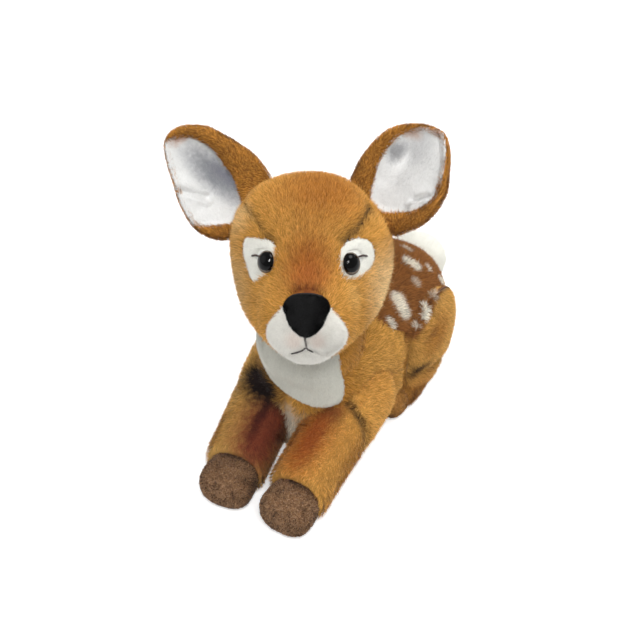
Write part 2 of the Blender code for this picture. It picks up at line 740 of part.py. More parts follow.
def build():
    clear_scene()
    torso = torso_form()
    head = head_form()
    neck = neck_form()

    head_turn = (math.radians(-HEAD_TILT_DEG), 0, math.radians(HEAD_TURN_DEG))
    head_pivot = pivot("head_pivot", (0, NECK_Y, NECK_BALL_Z), head_turn)
    head_place = pivot("head_place", (0, -HEAD_AHEAD_OF_BALL, HEAD_ABOVE_BALL), parent=head_pivot)

    # The limbs' full outer forms come first, since the torso is cut to let them turn
    shoulder_pivots = {}
    limb_sweeps = []
    leg = front_leg_form()
    for side, sign, yaw in (("left", 1, FRONT_LEFT_YAW_DEG), ("right", -1, FRONT_RIGHT_YAW_DEG)):
        place = (sign * SHOULDER_X, SHOULDER_Y, SHOULDER_Z)
        shoulder_pivots[side] = pivot("shoulder_pivot_" + side, place, (0, 0, math.radians(sign * yaw)))
        sweep = swept_room(grown(leg, SEAM_GAP), (0, 0, 0), (0, 0, sign), FRONT_LEG_RANGE, LEG_ROOM_FACETS)
        limb_sweeps.append(cutter(sweep, shoulder_pivots[side]))

    haunch = haunch_form()
    hind_leg = hind_leg_form()
    hip_y = HAUNCH_Y + HAUNCH_RADIUS * HIP_BEHIND_HAUNCH_SHARE
    for sign in (1, -1):
        for form in (haunch, hind_leg):
            whole = grown(form if sign > 0 else mirrored(form), SEAM_GAP)
            hip = (sign * HAUNCH_INNER_X, hip_y, 0)
            limb_sweeps.append(cutter(swept_room(whole, hip, (0, 0, sign), HIND_LEG_RANGE, LEG_ROOM_FACETS)))

    tail_pivot = pivot("tail_pivot", (0, TAIL_Y, TAIL_Z))
    tail = tail_form()
    tail_room = swept_room(grown(tail, SEAM_GAP), (0, 0, 0), (1, 0, 0), TAIL_RANGE, TAIL_ROOM_FACETS)
    tail_sweep = cutter(tail_room, tail_pivot)
    neck_cut = cutter(neck_room_for_turning())
    floor = cutter(floor_box())

    # Torso: cover, back panel, bib, stuffing and pellet bag
    panel_outline = oval_outline(BACK_PANEL_WIDTH, BACK_PANEL_FRONT_Y, BACK_PANEL_REAR_Y)
    stand_up = Matrix(((1, 0, 0, 0), (0, 0, 1, 0), (0, 1, 0, 0), (0, 0, 0, 1)))

    def panel_prism(distance):
        outline = outset_outline(panel_outline, distance)
        return moved(prism_form(outline, BACK_PANEL_LOW_Z - distance, TORSO_HEIGHT + CUT_OVERRUN), stand_up)

    bib_outline = oval_outline(BIB_WIDTH, BIB_LOW_Z, BIB_HIGH_Z)

    def bib_prism(distance):
        outline = outset_outline(bib_outline, distance)
        return prism_form(outline, CHEST_Y - CUT_OVERRUN, CHEST_Y + BIB_DEPTH + distance)

    # The rooms of the limbs graze each other here, where the exact solver can lose the whole piece
    torso_inside = cutter(grown(torso, -COVER_WALL))
    panel_rooms = [cutter(panel_prism(SEAM_GAP)), cutter(bib_prism(SEAM_GAP))]
    cover = new_object("torso_cover", torso, "brown_plush")
    cut(cover, [floor, torso_inside] + panel_rooms + [neck_cut, tail_sweep] + limb_sweeps, solver="MANIFOLD")
    back_panel = new_object("back_panel", torso, "spotted_plush")
    cut(back_panel, [cutter(panel_prism(0))], "INTERSECT", solver="MANIFOLD")
    cut(back_panel, [torso_inside, tail_sweep, neck_cut] + limb_sweeps, solver="MANIFOLD")
    bib = new_object("bib", torso, "white_plush")
    cut(bib, [cutter(bib_prism(0))], "INTERSECT", solver="MANIFOLD")
    cut(bib, [torso_inside, neck_cut] + limb_sweeps[:2], solver="MANIFOLD")

    bag_z = COVER_WALL + 2 * SEAM_GAP + BAG_HEIGHT / 2
    bag_radii = (BAG_WIDTH / 2, BAG_LENGTH / 2, BAG_HEIGHT / 2)
    bag = ellipsoid_form((0, BAG_Y, bag_z), bag_radii, 12, 6)
    new_object("pellet_bag", bag, "bag_cloth")
    stuffing = new_object("torso_stuffing", grown(torso, -COVER_WALL - STUFFING_GAP), "stuffing")
    bag_grown = grown(bag, SEAM_GAP)[0]
    bag_lowered = bag_grown - np.array((0, 0, BAG_HEIGHT))
    bag_room = cutter(room_form(np.vstack([bag_grown, bag_lowered]), BAG_ROOM_FACETS))
    cut(stuffing, [neck_cut, tail_sweep, bag_room] + limb_sweeps, solver="MANIFOLD")

    # Neck: a sleeve round its stuffing, open where it meets the torso and the head
    sleeve = new_object("neck_sleeve", neck, "brown_plush")
    opening = opening_form(NECK_OPENING_RADIUS, 0, TORSO_HEIGHT * 2)
    neck_opening = cutter(moved(opening, Matrix.Translation((0, NECK_Y, 0))))
    cut(sleeve, [cutter(grown(neck, -COVER_WALL)), neck_opening])
    new_object("neck_stuffing", grown(neck, -COVER_WALL - STUFFING_GAP), "stuffing")

    # Head: cover, muzzle and eye patches cut from one shell
    neck_in_head = neck_room_for_nodding()
    head_neck_cut = cutter(neck_in_head)
    head_inside = cutter(grown(head, -COVER_WALL), head_place)
    muzzle_y = head_y(HEAD_NOSE_SHARE) + MUZZLE_LENGTH / 2 - MUZZLE_SETBACK
    muzzle_radii = np.array((MUZZLE_WIDTH, MUZZLE_LENGTH, MUZZLE_HEIGHT)) / 2
    muzzle_block = ellipsoid_form((0, muzzle_y, MUZZLE_Z), muzzle_radii, 18, 9)
    face_depths = (head_y(HEAD_NOSE_SHARE) - CUT_OVERRUN, head_y(FACE_BACK_SHARE))

    head_cover = new_object("head_cover", head, "brown_plush", head_place)
    cut(head_cover, [head_inside, head_neck_cut, cutter(grown(muzzle_block, SEAM_GAP), head_place)])
    muzzle = new_object("muzzle", head, "white_plush", head_place)
    cut(muzzle, [cutter(muzzle_block, head_place)], "INTERSECT")
    cut(muzzle, [head_inside])
    head_filling = grown(head, -COVER_WALL - STUFFING_GAP)
    head_stuffing = new_object("head_stuffing", head_filling, "stuffing", head_place)
    cut(head_stuffing, [head_neck_cut])

    on_face = grown(head, SEAM_GAP)
    for side, sign in (("left", 1), ("right", -1)):
        centre = (sign * (EYE_X + PATCH_OUTWARD), EYE_Z - PATCH_DOWN)
        outline = scaled_outline(PATCH_OUTLINE_SHARES, PATCH_WIDTH, PATCH_HEIGHT, centre, sign)
        patch = new_object("eye_patch_" + side, head, "white_plush", head_place)
        cut(patch, [cutter(prism_form(outline, *face_depths), head_place)], "INTERSECT")
        cut(patch, [head_inside])
        patch_room = prism_form(outset_outline(outline, SEAM_GAP), *face_depths)
        cut(head_cover, [cutter(patch_room, head_place)])

        place, facing = head_surface(sign * EYE_X, EYE_Z)
        frame = facing.to_track_quat("Z", "Y").to_matrix().to_4x4()
        seat = Matrix.Translation(place) @ frame
        eye = moved(eye_form(0), seat)
        new_object("eye_" + side, eye, "eye_plastic", head_place)
        eye_room = cutter(moved(eye_form(SEAM_GAP), seat), head_place)
        washer = moved(washer_form(0), seat)
        new_object("eye_washer_" + side, washer, "washer_plastic", head_place)
        cut(patch, [eye_room])
        cut(head_cover, [eye_room])
        cut(head_stuffing, [cutter(moved(washer_room_form(), seat), head_place)])

        lash_centre = (sign * (EYE_X + LASH_OUTWARD), EYE_Z + LASH_UP)
        lash_shares = ((-0.5, 0.3), (0.4, -0.9), (0.5, -0.3), (-0.4, 0.9))
        lash_outline = scaled_outline(lash_shares, LASH_LENGTH, STITCH_WIDTH, lash_centre, sign)
        lash_form = prism_form(lash_outline, *face_depths)
        lash = new_object("eye_stitch_" + side, lash_form, "black_thread", head_place)
        cut(lash, [cutter(grown(head, STITCH_THICKNESS + SEAM_GAP), head_place)], "INTERSECT")
        cut(lash, [cutter(on_face, head_place)])

    # Nose and mouth, seated on the muzzle
    nose = new_object("nose", nose_form(), "nose_velvet", head_place)
    cut(nose, [cutter(on_face, head_place)])
    mouth = new_object("mouth_stitch", prism_form(mouth_outline(), *face_depths), "black_thread", head_place)
    cut(mouth, [cutter(grown(head, STITCH_THICKNESS + SEAM_GAP), head_place)], "INTERSECT")
    cut(mouth, [cutter(on_face, head_place)])

    # Ears stand in slots in the head
    for side, sign in (("left", 1), ("right", -1)):
        ear_pivot = place_ear(side, sign, head_place)
        back = ear_sheet(EAR_WALL, 0.0, 1.0, 1.0, 0.0)
        new_object("ear_back_" + side, back, "brown_plush", ear_pivot)
        offset = -(EAR_WALL / 2 + SEAM_GAP + LINING_WALL / 2)
        lining = ear_sheet(LINING_WALL, LINING_START_SHARE, LINING_END_SHARE, LINING_SHARE, offset)
        new_object("ear_lining_" + side, lining, "ear_lining_plush", ear_pivot)
        root_points = grown(back, SEAM_GAP)[0]
        root_points = root_points[root_points[:, 2] < EAR_LENGTH * 0.3]
        slot = swept_room(hull_form(root_points), (0, 0, 0), (1, 0, 0), EAR_RANGE, EAR_ROOM_FACETS)
        ear_slot = cutter(slot, ear_pivot)
        cut(head_cover, [ear_slot])
        cut(head_stuffing, [ear_slot])

    # Front legs: cover, hoof and stuffing cut from one form each
    cuff_y = -FRONT_LEG_REACH + FRONT_HOOF_LENGTH
    reach = FRONT_LEG_REACH * 2
    for side in ("left", "right"):
        carrier = shoulder_pivots[side]
        leg_inside = cutter(grown(leg, -COVER_WALL), carrier)
        upper = new_object("front_leg_" + side, leg, "brown_plush", carrier)
        toe_side = cutter(box_form((-reach, -reach, -reach), (reach, cuff_y + SEAM_GAP / 2, reach)), carrier)
        opening = opening_form(FRONT_OPENING_RADIUS, 0, reach)
        open_back = cutter(moved(opening, Matrix.Rotation(math.radians(-90), 4, "X")), carrier)
        cut(upper, [leg_inside, toe_side, open_back, floor], solver="MANIFOLD")
        hoof = new_object("front_hoof_" + side, leg, "hoof_plush", carrier)
        leg_side = cutter(box_form((-reach, cuff_y - SEAM_GAP / 2, -reach), (reach, reach, reach)), carrier)
        cut(hoof, [leg_inside, leg_side, floor], solver="MANIFOLD")
        new_object("front_leg_stuffing_" + side, grown(leg, -COVER_WALL - STUFFING_GAP), "stuffing", carrier)

    # Haunches and hind legs
    for side, sign in (("left", 1), ("right", -1)):
        hip = pivot("hip_pivot_" + side, (sign * HAUNCH_INNER_X, hip_y, 0))
        to_hip = Matrix.Translation((-sign * HAUNCH_INNER_X, -hip_y, 0))
        lens = moved(haunch if sign > 0 else mirrored(haunch), to_hip)
        limb = moved(hind_leg if sign > 0 else mirrored(hind_leg), to_hip)
        cover = new_object("haunch_" + side, lens, "brown_plush", hip)
        middle_z = HAUNCH_RADIUS - FLOOR_FLAT
        opening = opening_form(HAUNCH_OPENING_RADIUS, -COVER_WALL * 2, COVER_WALL * 2)
        lay = Matrix.Translation((0, HAUNCH_Y - hip_y, middle_z)) @ Matrix.Rotation(math.radians(90), 4, "Y")
        cut(cover, [cutter(grown(lens, -COVER_WALL), hip), cutter(moved(opening, lay), hip), floor])
        new_object("haunch_stuffing_" + side, grown(lens, -COVER_WALL - STUFFING_GAP), "stuffing", hip)
        lens_room = cutter(grown(lens, SEAM_GAP), hip)
        cuff = HIND_LEG_FRONT_Y - hip_y
        lower = new_object("hind_leg_" + side, limb, "brown_plush", hip)
        toe_side = cutter(box_form((-reach, -reach, -reach), (reach, cuff + SEAM_GAP / 2, reach)), hip)
        cut(lower, [lens_room, toe_side, floor])
        foot = new_object("hind_hoof_" + side, limb, "hoof_plush", hip)
        leg_side = cutter(box_form((-reach, cuff - SEAM_GAP / 2, -reach), (reach, reach, reach)), hip)
        cut(foot, [leg_side, floor])

    new_object("tail", tail, "white_plush", tail_pivot)


def neck_room_for_turning():
    # The flats of the room stay outside the corners of the neck as it turns
    points, faces = grown(neck_form(), SEAM_GAP)
    middle = np.array((0, NECK_Y, 0))
    outside = 1 / math.cos(math.pi / NECK_SIDES)
    return (points - middle) * np.array((outside, outside, 1)) + middle, faces


def neck_room_for_nodding():
    # The neck stays upright while the head nods about the ball, so the head keeps clear of its whole sweep
    points, faces = grown(neck_form(), SEAM_GAP)
    centre = (0, NECK_Y, NECK_BALL_Z)
    axis = Matrix.Rotation(math.radians(HEAD_TURN_DEG), 4, "Z") @ Vector((1, 0, 0))
    limits = (-HEAD_NOD_RANGE[1], -HEAD_NOD_RANGE[0])
    return swept_room((points, faces), centre, tuple(axis), limits, NECK_ROOM_FACETS)


def eye_form(extra):
    # Dome outside, flat back a little below the fabric, stem into the head
    profile = [(0, EYE_PROUD + extra)]
    for share in (0.30, 0.55, 0.78, 0.94):
        radius = EYE_RADIUS * share
        profile.append((radius + extra * share, EYE_PROUD * math.sqrt(1 - share ** 2) + extra))
    profile.append((EYE_RADIUS + extra, 0))
    profile.append((EYE_RADIUS + extra, -EYE_SUNK - extra))
    profile.append((EYE_STEM_RADIUS + extra, -EYE_SUNK - extra))
    profile.append((EYE_STEM_RADIUS + extra, -EYE_STEM_LENGTH - extra))
    profile.append((0, -EYE_STEM_LENGTH - extra))
    return turned_form(profile, EYE_SIDES)


def washer_levels():
    high = -COVER_WALL - 4 * SEAM_GAP
    return high, high - WASHER_THICKNESS


def washer_form(extra):
    high, low = washer_levels()
    inner = EYE_STEM_RADIUS + SEAM_GAP
    section = [(inner, high), (WASHER_RADIUS, high), (WASHER_RADIUS, low), (inner, low)]
    points, faces = [], []
    for radius, height in section:
        for i in range(WASHER_SIDES):
            angle = 2 * math.pi * i / WASHER_SIDES
            points.append((radius * math.cos(angle), radius * math.sin(angle), height))
    for r in range(4):
        for i in range(WASHER_SIDES):
            a, b = r * WASHER_SIDES, (r + 1) % 4 * WASHER_SIDES
            j = (i + 1) % WASHER_SIDES
            faces.append((a + i, a + j, b + j, b + i))
    return outward(points, faces)


def washer_room_form():
    # Room in the stuffing for the washer and for the end of the stem
    radius = WASHER_RADIUS + SEAM_GAP
    low = -EYE_STEM_LENGTH - 2 * SEAM_GAP
    return turned_form([(0, COVER_WALL), (radius, COVER_WALL), (radius, low), (0, low)], WASHER_SIDES)


def nose_form():
    tip = head_surface(0, NOSE_Z)[0].y
    rings = []
    for depth_share, size_share in NOSE_LAYER_SHARES:
        width = NOSE_WIDTH * size_share
        height = NOSE_HEIGHT * size_share
        outline = scaled_outline(NOSE_OUTLINE_SHARES, width, height, (0, NOSE_Z))
        y = tip + NOSE_THICKNESS - (NOSE_THICKNESS + NOSE_THICKNESS) * depth_share
        rings.append([(x, y, z) for x, z in outline])
    first = np.mean(rings[0], axis=0)
    last = np.mean(rings[-1], axis=0)
    return rings_form(rings, tuple(first), tuple(last))


def mouth_outline():
    # An upturned Y: a short drop from the nose, then a line to each side
    top = NOSE_Z - NOSE_HEIGHT / 2 - 2 * SEAM_GAP
    fork = top - MOUTH_DROP
    end = fork - MOUTH_FALL
    half = STITCH_WIDTH / 2
    right = [(half, top), (half, fork), (MOUTH_SPREAD, end + half), (MOUTH_SPREAD - half, end - half)]
    right.append((0, fork - 2 * half))
    left = [(-x, z) for x, z in reversed(right[:-1])]
    return right + left


def place_ear(side, sign, parent):
    # The root's place is on the head's surface, found down the ear's own direction
    backward = math.sin(math.radians(EAR_BACKWARD_DEG))
    root_angle = math.radians(EAR_ROOT_DEG)
    toward_root = Vector((sign * math.sin(root_angle), backward, math.cos(root_angle))).normalized()
    low, high = 0.0, HEAD_WIDTH
    start = Vector((0, EAR_ROOT_BACK, 0))
    for _ in range(40):
        middle = (low + high) / 2
        point = start + toward_root * middle
        t = (HEAD_BACK - point.y) / HEAD_LENGTH
        half_width, level, up, down = head_section(t)
        height = up if point.z >= level else down
        across_share = abs(point.x) / half_width
        up_share = abs(point.z - level) / height
        if across_share ** HEAD_FULLNESS + up_share ** HEAD_FULLNESS < 1:
            low = middle
        else:
            high = middle
    root = start + toward_root * low
    which = 0 if sign > 0 else 1
    spread_deg = EAR_SPREAD_DEG[which]
    twist_deg = EAR_TWIST_DEG[which]
    spread = math.radians(spread_deg)
    along = Vector((sign * math.sin(spread), backward, math.cos(spread))).normalized()
    forward = Vector((0, -1, 0))
    normal = (forward - along * forward.dot(along)).normalized()
    across = normal.cross(along) * -1
    frame = Matrix((across, -normal, along)).transposed().to_4x4()
    twist = Matrix.Rotation(math.radians(-sign * twist_deg), 4, "Z")
    empty = pivot("ear_pivot_" + side, (0, 0, 0), parent=parent)
    empty.matrix_local = Matrix.Translation(root) @ frame @ twist
    return empty


build()
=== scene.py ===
# Plush fawn lying down: stuffed skins, sewn panels, combed pile, eyes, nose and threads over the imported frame.
import math

import bpy
import numpy as np
from mathutils import Euler, Matrix, Vector
from mathutils.bvhtree import BVHTree
from mathutils.kdtree import KDTree


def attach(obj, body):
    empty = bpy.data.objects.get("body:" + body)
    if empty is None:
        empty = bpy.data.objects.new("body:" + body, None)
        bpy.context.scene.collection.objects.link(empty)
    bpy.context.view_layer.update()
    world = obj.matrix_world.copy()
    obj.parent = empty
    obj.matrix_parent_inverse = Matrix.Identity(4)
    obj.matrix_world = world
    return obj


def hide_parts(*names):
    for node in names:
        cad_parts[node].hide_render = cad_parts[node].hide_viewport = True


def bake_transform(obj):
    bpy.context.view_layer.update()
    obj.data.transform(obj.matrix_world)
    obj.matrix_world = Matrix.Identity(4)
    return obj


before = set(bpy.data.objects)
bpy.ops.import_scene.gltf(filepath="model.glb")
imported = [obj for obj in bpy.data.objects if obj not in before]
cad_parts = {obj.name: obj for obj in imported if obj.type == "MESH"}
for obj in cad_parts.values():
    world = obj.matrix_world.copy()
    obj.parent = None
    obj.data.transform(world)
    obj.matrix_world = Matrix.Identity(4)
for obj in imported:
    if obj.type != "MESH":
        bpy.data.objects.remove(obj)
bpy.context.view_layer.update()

print("frame loaded:", len(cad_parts), "nodes")


# Shared shape helpers. A skin is a dictionary of numpy arrays in its body's own coordinates.

mm = 0.001
bothSides = (("left", 1), ("right", -1))
farFront = -0.15      # where lines that look for the face start, well before it
deepest = 0.045      # the farthest that a skin steps aside for another form
floorGap = 0.0004
identity = Matrix.Identity(4)


def unit(vectors):
    return vectors / np.maximum(np.linalg.norm(vectors, axis=-1, keepdims=True), 1e-12)


def around(count):
    return 2 * math.pi * np.arange(count) / count


def joined(*parts):
    # points from rows and rings that fit each other
    return np.stack(np.broadcast_arrays(*parts), -1)


def smoothCurve(table, t):
    # runs through (place, value) pairs and never overshoots them
    x, y = np.array(table, float).T
    step = np.diff(x)
    slope = np.diff(y) / step
    tangent = np.zeros(len(x))
    for i in range(1, len(x) - 1):
        if slope[i - 1] * slope[i] > 0:
            tangent[i] = 2 * slope[i - 1] * slope[i] / (slope[i - 1] + slope[i])
    tangent[0], tangent[-1] = slope[0], slope[-1]
    i = np.clip(np.searchsorted(x, t) - 1, 0, len(x) - 2)
    s = (np.asarray(t) - x[i]) / step[i]
    low = (2 * s ** 3 - 3 * s ** 2 + 1) * y[i] + (s ** 3 - 2 * s ** 2 + s) * step[i] * tangent[i]
    return low + (3 * s ** 2 - 2 * s ** 3) * y[i + 1] + (s ** 3 - s ** 2) * step[i] * tangent[i + 1]


def bulge(t, power):
    return np.maximum(0.0, 1 - np.abs(2 * t - 1) ** power) ** (1 / power)


def signedPower(value, power):
    return np.sign(value) * np.abs(value) ** power


def roundedShares(count, power, start=0.03):
    # places along a form that lie evenly over its rounded ends
    return 0.5 - 0.5 * signedPower(np.cos(np.linspace(start, math.pi - start, count)), 2 / power)


def ovalRing(angle, halfWidth, up, down, powerUp, powerDown):
    c, s = np.cos(angle), np.sin(angle)
    power = np.where(s >= 0, powerUp, powerDown)
    return halfWidth * signedPower(c, 2 / power), np.where(s >= 0, up, down) * signedPower(s, 2 / power)


def smoothLoop(corners, count):
    # a closed line that rounds through its corners, with evenly spaced points
    p = np.array(corners, float)
    fine = []
    for i in range(len(p)):
        a, b, c, d = p[i - 1], p[i], p[(i + 1) % len(p)], p[(i + 2) % len(p)]
        for s in np.linspace(0, 1, 16, endpoint=False):
            fine.append(0.5 * (2 * b + (c - a) * s + (2 * a - 5 * b + 4 * c - d) * s ** 2
                               + (3 * b - a - 3 * c + d) * s ** 3))
    fine = np.array(fine)
    steps = np.linalg.norm(np.roll(fine, -1, axis=0) - fine, axis=1)
    along = np.concatenate([[0], np.cumsum(steps)])
    wanted = np.linspace(0, along[-1], count, endpoint=False)
    closed = np.vstack([fine, fine[:1]])
    return np.stack([np.interp(wanted, along, closed[:, k]) for k in range(p.shape[1])], axis=1)


def smoothStep(low, high, value):
    s = np.clip((value - low) / (high - low), 0, 1)
    return s * s * (3 - 2 * s)


def drift(points, perMetre, seed):
    # a smooth wandering vector for each point, used for clumps and soft lumps
    rng = np.random.default_rng(seed)
    total = np.zeros((len(points), 3))
    for _ in range(6):
        waves = rng.normal(size=(3, 3)) * perMetre
        total += np.sin(points @ waves + rng.uniform(0, 2 * math.pi, 3))
    return total / 3


def lineDistance(points, line):
    # how far each point lies from a line of points
    line = np.array(line, float)
    best = np.full(len(points), np.inf)
    for a, b in zip(line[:-1], line[1:]):
        ab = b - a
        s = np.clip(((points - a) @ ab) / (ab @ ab), 0, 1)
        best = np.minimum(best, np.linalg.norm(points - a - s[:, None] * ab, axis=1))
    return best


def ringGrid(rings):
    # closed form from rings of points: quads between them and one cap at each end
    rings = np.asarray(rings, float)
    rows, sides = rings.shape[:2]
    r, s = np.meshgrid(np.arange(rows - 1) * sides, np.arange(sides), indexing="ij")
    n = (s + 1) % sides
    quads = np.stack([r + s, r + n, r + sides + n, r + sides + s], -1).reshape(-1, 4)
    points = rings.reshape(-1, 3)
    caps = [list(range(sides))[::-1], list(range((rows - 1) * sides, rows * sides))]
    a, _, c, _ = (points[quads[:, k]] for k in range(4))
    if np.einsum("ij,ij->", crossOf(points, quads), (a + c) / 2 - points.mean(axis=0)) < 0:
        return points, quads[:, ::-1], [cap[::-1] for cap in caps]
    return points, quads, caps


def crossOf(points, quads):
    a, b, c, d = (points[quads[:, k]] for k in range(4))
    return np.cross(c - a, d - b)


def normalsOf(points, quads):
    face = crossOf(points, quads)
    total = np.zeros_like(points)
    for k in range(4):
        np.add.at(total, quads[:, k], face)
    return unit(total)


def makeSkin(rings, body, matrix=identity, inset=0.0, outward=None):
    points, quads, caps = ringGrid(rings)
    if outward is not None:
        # a thin pad faces the way its front was cast
        front = outward.reshape(-1, 3)
        if (normalsOf(points, quads)[:len(front)] * front).sum() < 0:
            quads, caps = quads[:, ::-1], [cap[::-1] for cap in caps]
    normals = normalsOf(points, quads)
    return {"points": points - normals * inset, "quads": quads, "caps": caps, "matrix": Matrix(matrix), "body": body,
            "normals": normals, "pile": np.ones(len(points)), "seam": np.zeros(len(points))}


def renew(skin):
    skin["normals"] = normalsOf(skin["points"], skin["quads"])


def toWorld(matrix, points):
    m = np.array(matrix)
    return points @ m[:3, :3].T + m[:3, 3]


def toLocal(matrix, points):
    return toWorld(matrix.inverted(), points)


def worldTree(skin):
    return BVHTree.FromPolygons(toWorld(skin["matrix"], skin["points"]).tolist(), skin["quads"].tolist() + skin["caps"])


def ownTree(skin):
    return BVHTree.FromPolygons(skin["points"].tolist(), skin["quads"].tolist())


def fromFront(tree, x, z):
    # where a line from the front meets a form, and which way the form faces there
    return tree.ray_cast(Vector((x, farFront, z)), Vector((0, 1, 0)))[:2]


def near(points, centre, reach):
    # 1 at a place, less and less over its reach
    return np.exp(-(((points - np.array(centre)) / np.array(reach)) ** 2).sum(axis=1))


def press(skin, centre, reach, amount):
    # in millimetres: moves the skin out (in, below zero) round a place, or drags it by a vector
    share = near(skin["points"], np.array(centre) * mm, np.array(reach) * mm)
    way = skin["normals"] if np.isscalar(amount) else 1
    skin["points"] = skin["points"] + way * share[:, None] * (np.array(amount) * mm)


def crease(skin, line, width, depth, shorter):
    # in millimetres: pulls the skin in along a seam, where the pile is shorter too and its seam share lays painted
    # shade on the pile
    share = np.exp(-(lineDistance(skin["points"], np.array(line) * mm) / (width * mm)) ** 2)
    skin["points"] = skin["points"] - skin["normals"] * (depth * mm * share)[:, None]
    skin["pile"] = skin["pile"] * (1 - shorter * share)
    skin["seam"] = np.maximum(skin["seam"], share)
    renew(skin)


def yieldTo(skin, tree, gap):
    # where another form fills the skin's place, the skin goes round it on its inner side
    world = toWorld(skin["matrix"], skin["points"])
    inward = -(skin["normals"] @ np.array(skin["matrix"])[:3, :3].T)
    for i, (point, way) in enumerate(zip(world, inward)):
        start = Vector(point)
        place, normal, _, away = tree.find_nearest(start)
        if (start - place).dot(normal) > 0:
            continue
        if any(tree.ray_cast(start, Vector((aside, 0, 0)))[0] is None for aside in (1, -1)):
            continue      # not inside it after all
        hit = tree.ray_cast(start, Vector(way))
        move = (hit[3] if hit[0] is not None else away) + gap
        world[i] = point + way * min(move, deepest)
        skin["pile"][i] = 0
    skin["points"] = toLocal(skin["matrix"], world)


def restOnFloor(skin):
    world = toWorld(skin["matrix"], skin["points"])
    world[:, 2] = np.maximum(world[:, 2], floorGap)
    skin["points"] = toLocal(skin["matrix"], world)


# Where the bodies are at rest

headPlace = (Matrix.Translation((-0.00363, -0.01987, 0.14516))
             @ Euler((math.radians(-16), 0, math.radians(27))).to_matrix().to_4x4())
earPlaces = {
    "left": headPlace @ Matrix(((0.68740, 0.39452, 0.60978, 0.04119), (-0.58217, 0.80129, 0.13784, 0.01484),
                                (-0.43423, -0.44975, 0.78049, 0.02675), (0, 0, 0, 1))),
    "right": headPlace @ Matrix(((0.63017, -0.16498, -0.75873, -0.04119), (0.40285, 0.90482, 0.13784, 0.01484),
                                 (0.66378, -0.39252, 0.63665, 0.02675), (0, 0, 0, 1))),
}
shoulderPlaces = {side: Matrix.Translation((sign * 0.028, -0.014, 0.040)) @ Matrix.Rotation(math.radians(turn), 4, "Z")
                  for (side, sign), turn in zip(bothSides, (-1.0, 6.5))}


# Torso

torsoLook = {
    "length": 0.174, "width": 0.096, "height": 0.099, "chestY": -0.056, "inset": 0.0020,
    "widths": ((0, .86), (.15, .88), (.30, .91), (.50, .96), (.70, 1.0), (.86, .97), (1, .88)),
    "tops": ((0, .98), (.15, 1.0), (.30, .95), (.50, .89), (.70, .88), (.86, .84), (1, .74)),
    "middles": ((0, .56), (.15, .52), (.30, .47), (.50, .44), (.70, .43), (.86, .43), (1, .44)),
    "pile": {"count": 80000, "length": 0.0046},
}


def torsoRings(look, rows=130, sides=150):
    t = roundedShares(rows, 3.6)
    halfWidth = look["width"] / 2 * smoothCurve(look["widths"], t) * bulge(t, 3.0)
    middle = look["height"] * smoothCurve(look["middles"], t)
    up = (look["height"] * smoothCurve(look["tops"], t) - middle) * bulge(t, 3.6)
    down = (middle + 0.0005) * bulge(t, 6.0)
    x, z = ovalRing(around(sides), halfWidth[:, None], up[:, None], down[:, None], 2.2, 2.7)
    return joined(x, (look["chestY"] + t * look["length"])[:, None], middle[:, None] + z)


skins = {"torso": makeSkin(torsoRings(torsoLook), "torso", inset=torsoLook["inset"])}

# Neck, which bends between torso and head

neckLook = {
    "profile": ((74.5, 28.5), (78, 31.2), (84, 32.5), (90, 32.2), (97, 30), (104, 28.8), (111, 28.4),
                (118, 27), (125, 23.8), (131, 18.5), (135.5, 10), (137.2, 3)),
    "y": -0.027, "start": (0, -0.027, 0.074), "end": (0, -0.027, 0.106), "bareAbove": 0.122,
    "pile": {"count": 14000, "length": 0.0035},
}


def neckRings(look, rows=60, sides=90):
    profile = np.array(look["profile"]) * mm
    z = np.linspace(profile[0][0], profile[-1][0], rows)
    radius = smoothCurve(profile, z)[:, None]
    return joined(radius * np.cos(around(sides)), look["y"] + radius * np.sin(around(sides)), z[:, None])


skins["neck"] = makeSkin(neckRings(neckLook), "neck")

# Head

headLook = {
    "length": 0.116, "back": 0.047, "width": 0.098, "height": 0.098, "inset": 0.0022,
    "widths": ((0, .98), (.12, .99), (.26, 1.0), (.40, 1.0), (.50, .985), (.60, .91), (.70, .78), (.80, .65), (.90, .65),
               (1, .68)),
    "middles": ((0, .04), (.12, .04), (.26, .04), (.40, .03), (.50, 0), (.60, -.05), (.70, -.11), (.80, -.17), (.90, -.18),
                (1, -.17)),
    "ups": ((0, .42), (.12, .44), (.26, .48), (.40, .495), (.50, .485), (.60, .435), (.70, .36), (.80, .31), (.90, .29),
            (1, .28)),
    "downs": ((0, .42), (.12, .43), (.26, .44), (.40, .45), (.50, .45), (.60, .44), (.70, .40), (.80, .355), (.90, .325),
              (1, .31)),
    "brows": {      # in millimetres
        "right": ((-40, 4, 31.5), (-38.2, -.8, 30.7), (-29.8, -17.8, 27.7), (-22.2, -28.6, 20.3), (-19, -33, 18)),
        "left": ((40, 3, 34.5), (37, -3.5, 32.5), (30, -14.8, 27.3), (23.2, -24.6, 22.9), (18.5, -30, 19.5))},
    "facePile": {"count": 165000, "length": 0.0048}, "napePile": {"count": 110000, "length": 0.0048},
}


def headRings(look, rows=140, sides=150):
    t = roundedShares(rows, 2.6)
    ends = bulge(t, 2.6)
    halfWidth = look["width"] / 2 * smoothCurve(look["widths"], t) * ends
    middle, up, down = (look["height"] * smoothCurve(look[key], t) for key in ("middles", "ups", "downs"))
    x, z = ovalRing(around(sides), halfWidth[:, None], (up * ends)[:, None], (down * ends)[:, None], 2.15, 2.15)
    return joined(x, (look["back"] - t * look["length"])[:, None], middle[:, None] + z)


skins["head"] = makeSkin(headRings(headLook), "head", headPlace, headLook["inset"])

# Front legs and their hooves, from the shoulder ball down to the floor

